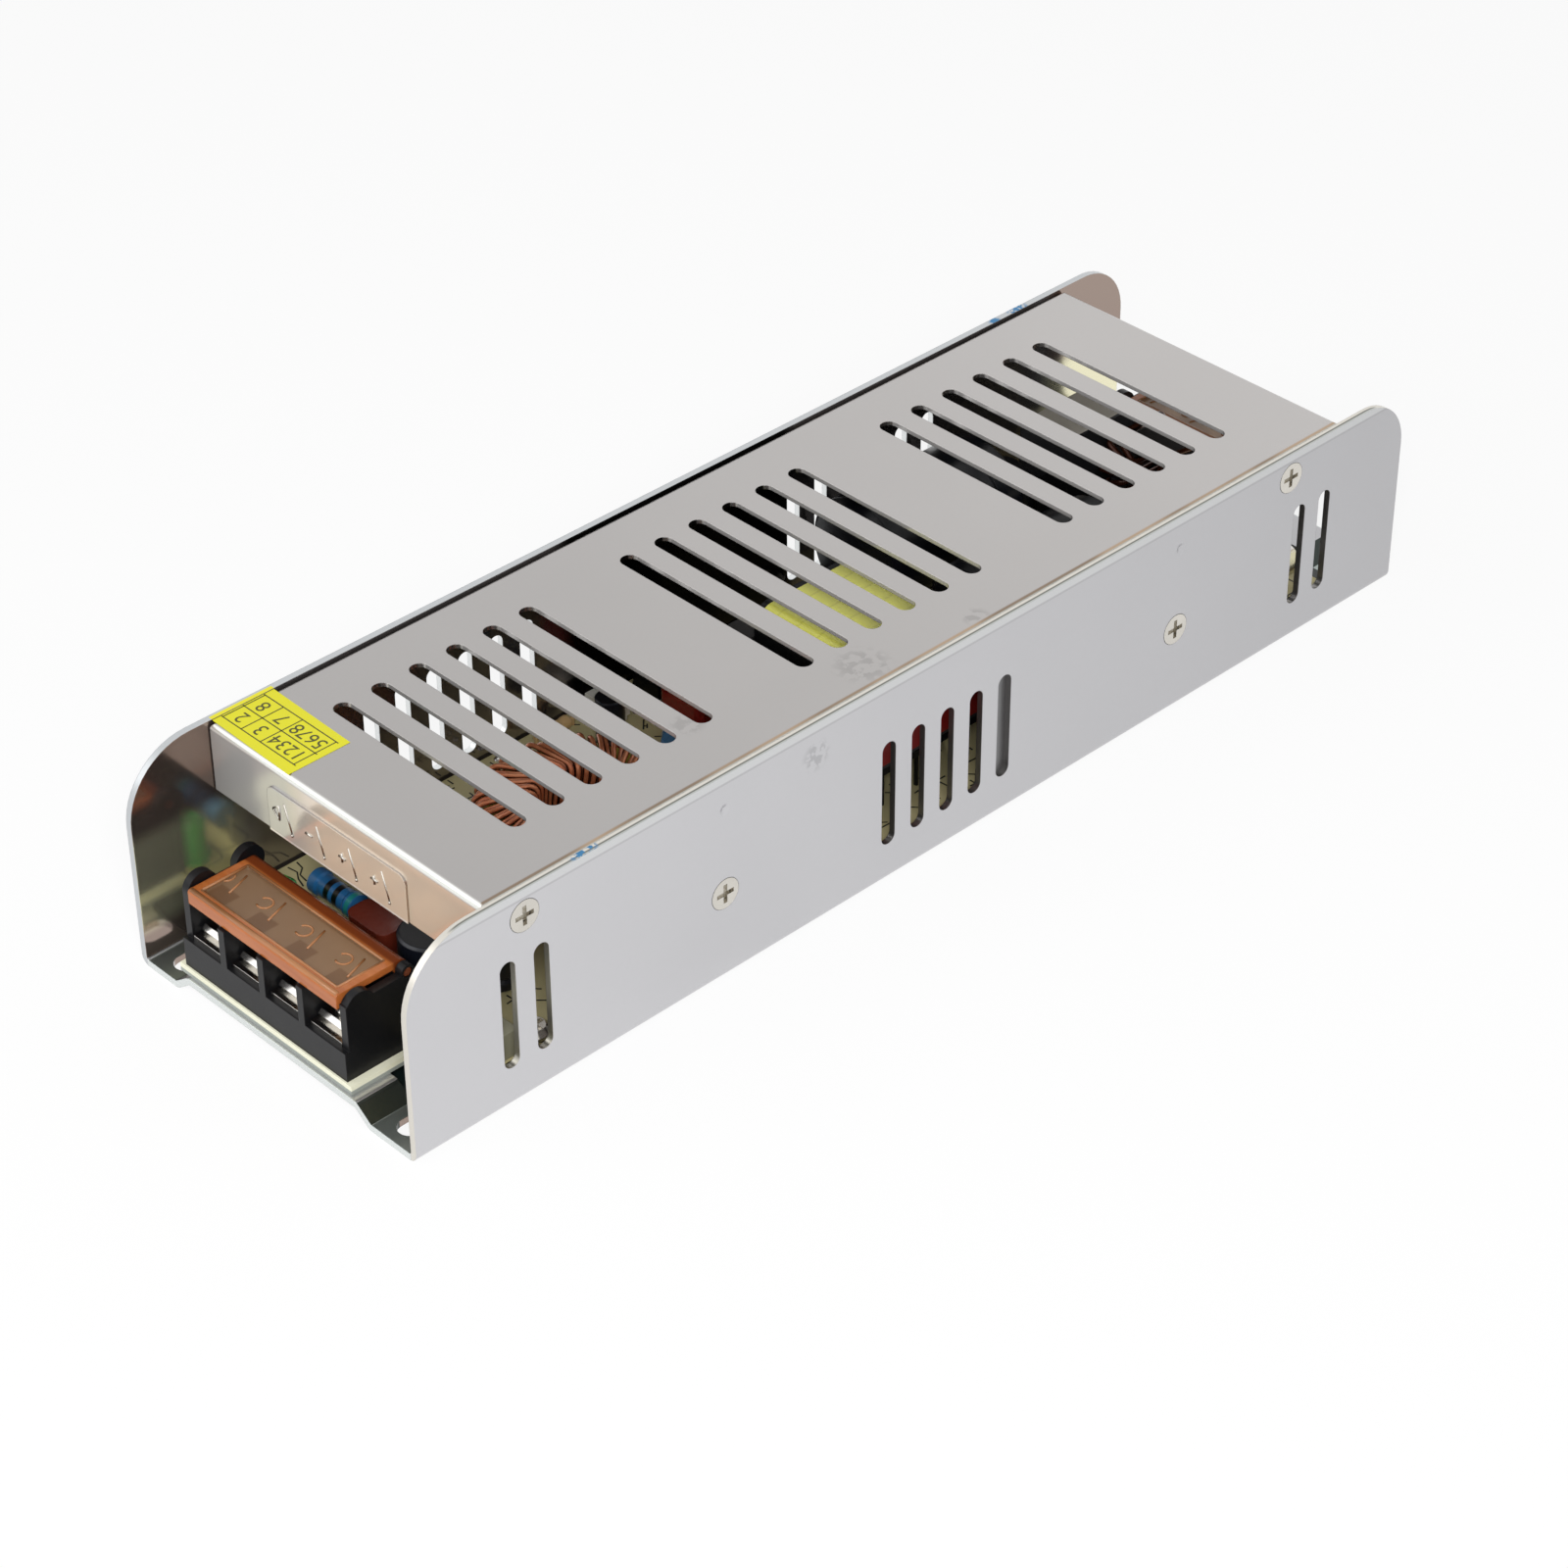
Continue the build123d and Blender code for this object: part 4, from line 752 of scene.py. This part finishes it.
def add_tube(mesh, path, radius, sides=8, closed=False, up=None, flat=1.0):
    """A round rod along a path. With up given, its section is flattened along up and keeps level."""
    count = len(path)
    rings = []
    side = None
    for i, point in enumerate(path):
        if closed:
            ahead = path[(i + 1) % count] - path[i - 1]
        else:
            ahead = path[min(i + 1, count - 1)] - path[max(i - 1, 0)]
        ahead.normalize()
        if up is not None:
            side = ahead.cross(up).normalized()
            lift = up * flat
        else:
            if side is None:
                side = ahead.orthogonal().normalized()
            side = (side - ahead * side.dot(ahead)).normalized()
            lift = ahead.cross(side)
        ring = []
        for k in range(sides):
            turn = math.tau * (k + 0.5) / sides
            offset = side * math.cos(turn) + lift * math.sin(turn)
            ring.append(mesh.verts.new(point + offset * radius))
        rings.append(ring)
    spans = count if closed else count - 1
    for i in range(spans):
        here, there = rings[i], rings[(i + 1) % count]
        for k in range(sides):
            mesh.faces.new((here[k], here[(k + 1) % sides], there[(k + 1) % sides], there[k]))
    if not closed:
        mesh.faces.new(rings[0][::-1])
        mesh.faces.new(rings[-1])


def arc(centre, radius, first, last, right, up, steps=12):
    """Points of an arc in the plane of right and up, angles in degrees."""
    points = []
    for i in range(steps + 1):
        angle = math.radians(first + (last - first) * i / steps)
        points.append(centre + right * radius * math.cos(angle) + up * radius * math.sin(angle))
    return points


# Windings
class Ring:
    """A wound ring core: centre, axis, and the room that its winding takes."""

    def __init__(self, core, winding, letter):
        wound = Box(winding)
        index = "XYZ".index(letter)
        self.centre = Box(core).centre
        self.axis = Vector([1.0 if i == index else 0.0 for i in range(3)])
        self.first = Vector((0, 1, 0)) if letter == "X" else Vector((1, 0, 0))
        self.second = self.axis.cross(self.first)
        others = [i for i in range(3) if i != index]
        self.outer = max(wound.size[i] for i in others) / 2
        self.half = wound.size[index] / 2

    def turn(self, angle, inner, outer, half, corner, swirl):
        """One closed turn round the core; it slants by swirl as it crosses each face."""
        points = []
        middle = (inner + outer) / 2
        reach = (outer - inner) / 2
        for quarter, (across, rise) in enumerate(((1, 1), (-1, 1), (-1, -1), (1, -1))):
            for i in range(5):
                bend = math.radians(90 * quarter + 90 * i / 4)
                radius = middle + across * (reach - corner) + corner * math.cos(bend)
                height = rise * (half - corner) + corner * math.sin(bend)
                slant = swirl * (radius - middle) / reach * height / half
                direction = self.first * math.cos(angle + slant) + self.second * math.sin(angle + slant)
                points.append(self.centre + direction * radius + self.axis * height)
        return points


def inductor_winding():
    """Two layers of round wire packed round the output inductor, each a little off its place."""
    ring = Ring("output_inductor_core", "output_inductor_winding", "Z")
    wire = 0.46 * MM
    strands = 76
    inner_layers = (8.25 * MM, 7.62 * MM)
    layer_step = 0.35 * MM
    corner = 1.4 * MM
    mesh = bmesh.new()
    for i in range(strands):
        angle = math.tau * i / strands + random.uniform(-0.008, 0.008)
        inner = inner_layers[i % 2]
        sunk = layer_step * (1 - i % 2) + random.uniform(0.0, 0.1) * MM
        outer = ring.outer - wire - sunk
        half = ring.half - wire - sunk
        swirl = math.radians(9.0) + random.uniform(-0.02, 0.02)
        add_tube(mesh, ring.turn(angle, inner, outer, half, corner, swirl), wire, closed=True)
    wound = piece("inductor_strands", mesh, materials["copper"])
    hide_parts("output_inductor_winding")


def choke_windings():
    """Round turns on both sides of the standing line choke."""
    ring = Ring("line_choke_core", "line_choke_windings", "X")
    wire = 0.58 * MM
    inner = 4.55 * MM
    turns = 7
    pitch = math.radians(18.0)
    mesh = bmesh.new()
    for side in (0.0, math.pi):
        for i in range(turns):
            angle = side + (i - (turns - 1) / 2) * pitch
            outer, half = ring.outer - wire, ring.half - wire
            loop = ring.turn(angle, inner, outer, half, 1.0 * MM, math.radians(4))
            add_tube(mesh, loop, wire, closed=True)
    # The wire takes the copper painted dark as shade
    wound = piece("choke_strands", mesh, materials["choke_copper_painted_shade"])
    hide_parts("line_choke_windings")


inductor_winding()
choke_windings()


# Sticker on the lid's corner
def sticker_sheet():
    """The paper, a little skewed."""
    mesh = bmesh.new()
    columns = 10
    paper_thickness = 0.05 * MM
    most_skew = 0.5 * MM
    rows = []
    for i in range(columns + 1):
        y = STICKER_Y[0] + (STICKER_Y[1] - STICKER_Y[0]) * i / columns
        skew = most_skew * (1 - i / columns)
        top = [mesh.verts.new((x - skew, y, STICKER_TOP)) for x in STICKER_X]
        under = [mesh.verts.new((x - skew, y, STICKER_TOP - paper_thickness)) for x in STICKER_X]
        rows.append((*top, *under[::-1]))
    for here, there in zip(rows, rows[1:]):
        for k in range(4):
            mesh.faces.new((here[k], here[(k + 1) % 4], there[(k + 1) % 4], there[k]))
    mesh.faces.new(rows[0])
    mesh.faces.new(rows[-1][::-1])
    paper = moulded("sticker_paper", paint(220, 215, 20), 0.4, variation=0.04, edge=0.02)
    piece("sticker", mesh, paper, smooth=False)


def sticker_print():
    """Ruled cells in two rows of three, with plain numbers."""
    ink = moulded("sticker_ink", paint(66, 66, 14), 0.5, variation=0.2, edge=0.01)
    left, right = STICKER_X[0] + 1.7 * MM, STICKER_X[1] - 2.0 * MM
    low, high = STICKER_Y[0] + 1.5 * MM, STICKER_Y[1] - 0.4 * MM
    middle = (left + right) / 2
    reach = high - low
    cells = [low, high - 0.53 * reach, high - 0.26 * reach, high]
    line_half = 0.15 * MM
    digit_size = 3.7 * MM
    mesh = bmesh.new()

    def rule(start, end):
        path = [Vector((x, y, STICKER_TOP + 0.012 * MM)) for x, y in (start, end)]
        add_tube(mesh, path, line_half, 4, up=UP, flat=0.1)

    for x in (left, middle, right):
        rule((x, low - 0.5 * MM), (x, high + 0.3 * MM))
    for y in cells:
        rule((left, y), (right, y))
    piece("sticker_rules", mesh, ink, smooth=False)
    texts = (("1234", "5678"), ("3", "7"), ("2", "8"))
    for (near, far), pair in zip(zip(cells, cells[1:]), texts):
        for row, text in enumerate(pair):
            x = (left + middle) / 2 if row == 0 else (middle + right) / 2
            number(text, x, (near + far) / 2, digit_size, ink)


def number(text, x, y, size, ink):
    """A plain number lying on the sticker, its feet towards the far end of the case."""
    curve = bpy.data.curves.new(f"number_{text}", "FONT")
    curve.body = text
    curve.size = size
    curve.align_x = "CENTER"
    curve.align_y = "CENTER"
    curve.resolution_u = 3
    holder = bpy.data.objects.new("number_form", curve)
    flat = bpy.data.meshes.new_from_object(holder)
    bpy.data.objects.remove(holder)
    mesh = bmesh.new()
    mesh.from_mesh(flat)
    for vertex in mesh.verts:
        across, rise = vertex.co.x, vertex.co.y
        vertex.co = Vector((x - rise, y + across, STICKER_TOP + 0.02 * MM))
    bmesh.ops.recalc_face_normals(mesh, faces=mesh.faces)
    piece(f"sticker_number_{text}", mesh, ink, smooth=False)


sticker_sheet()
sticker_print()


# Pressed marks on the front lip
def lip_marks():
    """A triangle, then a minus and two plus signs between slanted bars; press takes mm."""
    mesh = bmesh.new()
    face = cover.low.x
    ridge = 0.22 * MM
    out = Vector((-1, 0, 0))
    middle = 30.5
    arm = 0.8
    bars = (13.0, 5.25, -2.4, -10.2)
    signs = (8.0, 0.0, -7.6)
    plus_signs = signs[1:]

    def press(*points, relief=1.1):
        path = [Vector((face, y * MM, z * MM)) for y, z in points]
        add_tube(mesh, path, ridge, up=out, flat=relief)

    for y in bars:
        press((y + 0.8, middle + 2.6), (y - 0.8, middle - 2.6), relief=0.5)
        press((y - 0.72, middle - 2.3), (y - 0.82, middle - 2.7), relief=1.2)
    press((16.6, middle + 0.5), (15.1, middle + 1.6), (15.2, middle - 1.0), (16.6, middle + 0.5))
    for y in signs:
        press((y + arm, middle), (y - arm, middle))
    for y in plus_signs:
        press((y, middle + arm), (y, middle - arm))
    piece("lip_marks", mesh, materials["screw"])


lip_marks()


# Beads and ridges moulded into the hinged covers
def cover_marks(node, body, poles, out):
    """Bead at the free edge, frame round the panel, and an arc with a stroke for each pole. out is the
    direction along X from the hinge to the free edge."""
    box = Box(node)
    mesh = bmesh.new()
    top = box.high.z
    front = box.low.x if out < 0 else box.high.x
    hinge = box.high.x if out < 0 else box.low.x
    low, high = box.low.y + COVER_PIN, box.high.y - COVER_PIN
    bead = 0.5 * MM
    inner_rim = 1.55 * MM
    frame_wire = 0.24 * MM
    mark_wire = 0.2 * MM
    along_y, along_x = Vector((0, 1, 0)), Vector((1, 0, 0))

    def ridge(points, radius, z, flat=0.8):
        path = [Vector((x, y, z)) for x, y in points]
        add_tube(mesh, path, radius, up=UP, flat=flat)

    edge = front - out * (bead + 0.1 * MM)
    ridge([(edge, low + 0.3 * MM), (edge, high - 0.3 * MM)], bead, top - 0.2 * MM)
    near, far = hinge + out * 3.05 * MM, front - out * inner_rim
    left, right = low + inner_rim, high - inner_rim
    corners = [(near, left), (far, left), (far, right), (near, right)]
    for start, end in zip(corners, corners[1:] + corners[:1]):
        ridge([start, end], frame_wire, top - 0.08 * MM)
    floor = top - 0.5 * MM
    middle = (near + far) / 2
    for y in pole_places(box, poles):
        centre = Vector((middle - out * 0.8 * MM, y + 2.8 * MM, 0))
        loop = arc(centre, 1.3 * MM, 20, 300, along_y, along_x)
        ridge([(point.x, point.y) for point in loop], mark_wire, floor, flat=0.9)
        start = (middle - out * 3.0 * MM, y + 0.6 * MM)
        end = (middle + out * 1.6 * MM, y - 0.9 * MM)
        ridge([start, end], mark_wire, floor, flat=0.9)
    piece(f"{body}_marks", mesh, materials["amber_ridge"], body)


cover_marks("dc_terminal_cover", "dc_cover", 4, -1)
cover_marks("ac_terminal_cover", "ac_cover", 3, 1)


# Board print and solder
def board_print():
    """Outlines of the parts on the board's upper face, and short strokes in place of words."""
    ink = moulded("board_ink", paint(30, 30, 30), 0.5, edge=0.01)
    mesh = bmesh.new()
    top = board.high.z + 0.01 * MM
    line_half = 0.2 * MM
    margin = 0.7 * MM
    radius = 1.2 * MM
    steps = 8

    def draw(points, closed=False):
        path = [Vector((x, y, top)) for x, y in points]
        add_tube(mesh, path, line_half, 4, closed=closed, up=UP, flat=0.08)

    def outline(node):
        box = Box(node)
        x0, x1 = box.low.x - margin, box.high.x + margin
        y0, y1 = box.low.y - margin, box.high.y + margin
        corners = ((x1, y1, 0), (x0, y1, 90), (x0, y0, 180), (x1, y0, 270))
        points = []
        for x, y, start in corners:
            corner_x = x - math.copysign(radius, x - box.centre.x)
            corner_y = y - math.copysign(radius, y - box.centre.y)
            centre = Vector((corner_x, corner_y, 0))
            bend = arc(centre, radius, start, start + 90, Vector((1, 0, 0)), Vector((0, 1, 0)), steps)
            points += [(point.x, point.y) for point in bend]
        draw(points, closed=True)

    wavy_lines = (  # mm
        ((-83.0, 31.3), (-83.3, 29.5), (-84.7, 28.3), (-85.0, 26.3)),
        ((-84.9, 31.2), (-84.6, 29.2), (-85.6, 27.6), (-86.2, 25.6)),
    )
    for line in wavy_lines:
        draw([(x * MM, y * MM) for x, y in line])
    for node in (
        "load_resistor",
        "power_led",
        "voltage_trimmer",
        "output_inductor_core",
        "control_chip",
        "drive_transformer_core",
        "x_capacitor",
        "fuse_clips",
        "bridge_rectifier",
        "inrush_thermistor",
        "surge_varistor",
    ):
        outline(node)
    right_side, left_side = (-31.0, -18.5), (14.0, 31.0)
    strokes_per_mm = 1.6
    with_foot = 0.4
    for first, last, band in (
        (-90.0, -71.0, right_side),
        (-15.0, 18.0, right_side),
        (78.0, 96.0, right_side),
        (-62.0, -14.0, left_side),
    ):
        for _ in range(round((last - first) * strokes_per_mm)):
            x, y = random.uniform(first, last) * MM, random.uniform(*band) * MM
            turn = random.choice((0.0, 0.5, 1.0, 1.5)) * math.pi / 2 + random.uniform(-0.1, 0.1)
            reach = random.uniform(0.6, 1.6) * MM
            step = (reach * math.cos(turn), reach * math.sin(turn))
            draw(((x - step[0], y - step[1]), (x + step[0], y + step[1])))
            if random.random() < with_foot:
                draw(((x - step[1], y + step[0]), (x, y)))
    piece("board_print", mesh, ink, smooth=False)


def solder_dots():
    """Small joints and pads near the left-hand wall."""
    mesh = bmesh.new()
    dots = 26
    for _ in range(dots):
        x = random.uniform(-60.0, -14.0) * MM
        y = random.uniform(22.5, 30.5) * MM
        radius = random.uniform(0.35, 0.75) * MM
        place = Matrix.Translation((x, y, board.high.z)) @ Matrix.Diagonal((1, 1, 0.4, 1))
        bmesh.ops.create_icosphere(mesh, subdivisions=2, radius=radius, matrix=place)
    piece("solder_dots", mesh, materials["plated"])


board_print()
solder_dots()


# Floor, light and camera
def stage():
    """A pale floor that keeps a faint shadow and shows as white."""
    floor_data = bpy.data.meshes.new("floor")
    reach = 6.0
    whiteness = 0.85
    corners = [(-reach, -reach, 0), (reach, -reach, 0), (reach, reach, 0), (-reach, reach, 0)]
    floor_data.from_pydata(corners, [], [(0, 1, 2, 3)])
    floor = bpy.data.objects.new("floor", floor_data)
    bpy.context.scene.collection.objects.link(floor)
    surface = Surface("floor_paper")
    tone = surface.mix(surface.noise(0.4, 2.0), (0.86, 0.86, 0.86, 1.0), (0.9, 0.9, 0.9, 1.0))
    paper = surface.add("ShaderNodeBsdfDiffuse", {"Color": tone})
    white = surface.add("ShaderNodeEmission", {"Strength": 1.0})
    share = surface.all_of(background_rays(surface), whiteness)
    blend = surface.add("ShaderNodeMixShader", {0: share, 1: paper.outputs[0], 2: white.outputs[0]})
    surface.add("ShaderNodeOutputMaterial", {"Surface": blend.outputs[0]})
    floor_data.materials.append(surface.material)


def background_rays(surface):
    """1 for the rays that show the background: camera, glossy and transmission."""
    path = surface.add("ShaderNodeLightPath")
    seen = surface.calculate("MAXIMUM", path.outputs["Is Camera Ray"], path.outputs["Is Glossy Ray"])
    return surface.calculate("MAXIMUM", seen, path.outputs["Is Transmission Ray"])


class World(Surface):
    """The world's node tree, built with the same calls as a material."""

    def __init__(self):
        world = bpy.data.worlds.new("studio")
        bpy.context.scene.world = world
        world.use_nodes = True
        self.tree = world.node_tree
        self.tree.nodes.clear()


def light_world():
    """A dim, even sky that the background's rays see as white."""
    surface = World()
    strength = surface.span(background_rays(surface), 0.38, 1.0)
    sky = surface.add("ShaderNodeBackground", {"Color": (1.0, 1.0, 1.0, 1.0), "Strength": strength})
    surface.add("ShaderNodeOutputWorld", {"Surface": sky.outputs[0]})


def lamp(name, place, target, size, power, mirrored=True):
    """A square lamp. Its own image is left out of glossy surfaces where mirrored is off."""
    data = bpy.data.lights.new(name, "AREA")
    data.size = size
    data.energy = power
    shown = bpy.data.objects.new(name, data)
    shown.location = place
    shown.rotation_mode = "QUATERNION"
    shown.rotation_quaternion = (Vector(target) - Vector(place)).to_track_quat("-Z", "Y")
    shown.visible_glossy = mirrored
    bpy.context.scene.collection.objects.link(shown)


def place_camera():
    """The photograph's camera: a long lens, high over the output end's corner."""
    right = Vector((0.71944, -0.69456, -0.00402))
    down = Vector((-0.41291, -0.42303, -0.80657))
    forward = Vector((0.55851, 0.58193, -0.59113))
    data = bpy.data.cameras.new("camera")
    data.sensor_width = 36.0
    data.lens = 94.44
    data.clip_start = 0.01
    shown = bpy.data.objects.new("camera", data)
    turn = Matrix((right, -down, -forward)).transposed().to_4x4()
    shown.matrix_world = Matrix.Translation(Vector((-389.744, -401.132, 404.558)) * MM) @ turn
    bpy.context.scene.collection.objects.link(shown)
    bpy.context.scene.camera = shown


stage()
light_world()
case_middle = (0.0, 0.0, 0.02)
output_end = (-0.1, 0.0, 0.02)
lamp("key", (-0.7, -0.78, 0.85), case_middle, 0.45, 15.0, mirrored=False)
lamp("fill", (-0.9, 0.5, 0.7), case_middle, 0.9, 2.5)
lamp("front", (-1.0, 0.05, 0.4), output_end, 0.5, 0.9)
place_camera()
bpy.context.scene.view_settings.view_transform = "Standard"
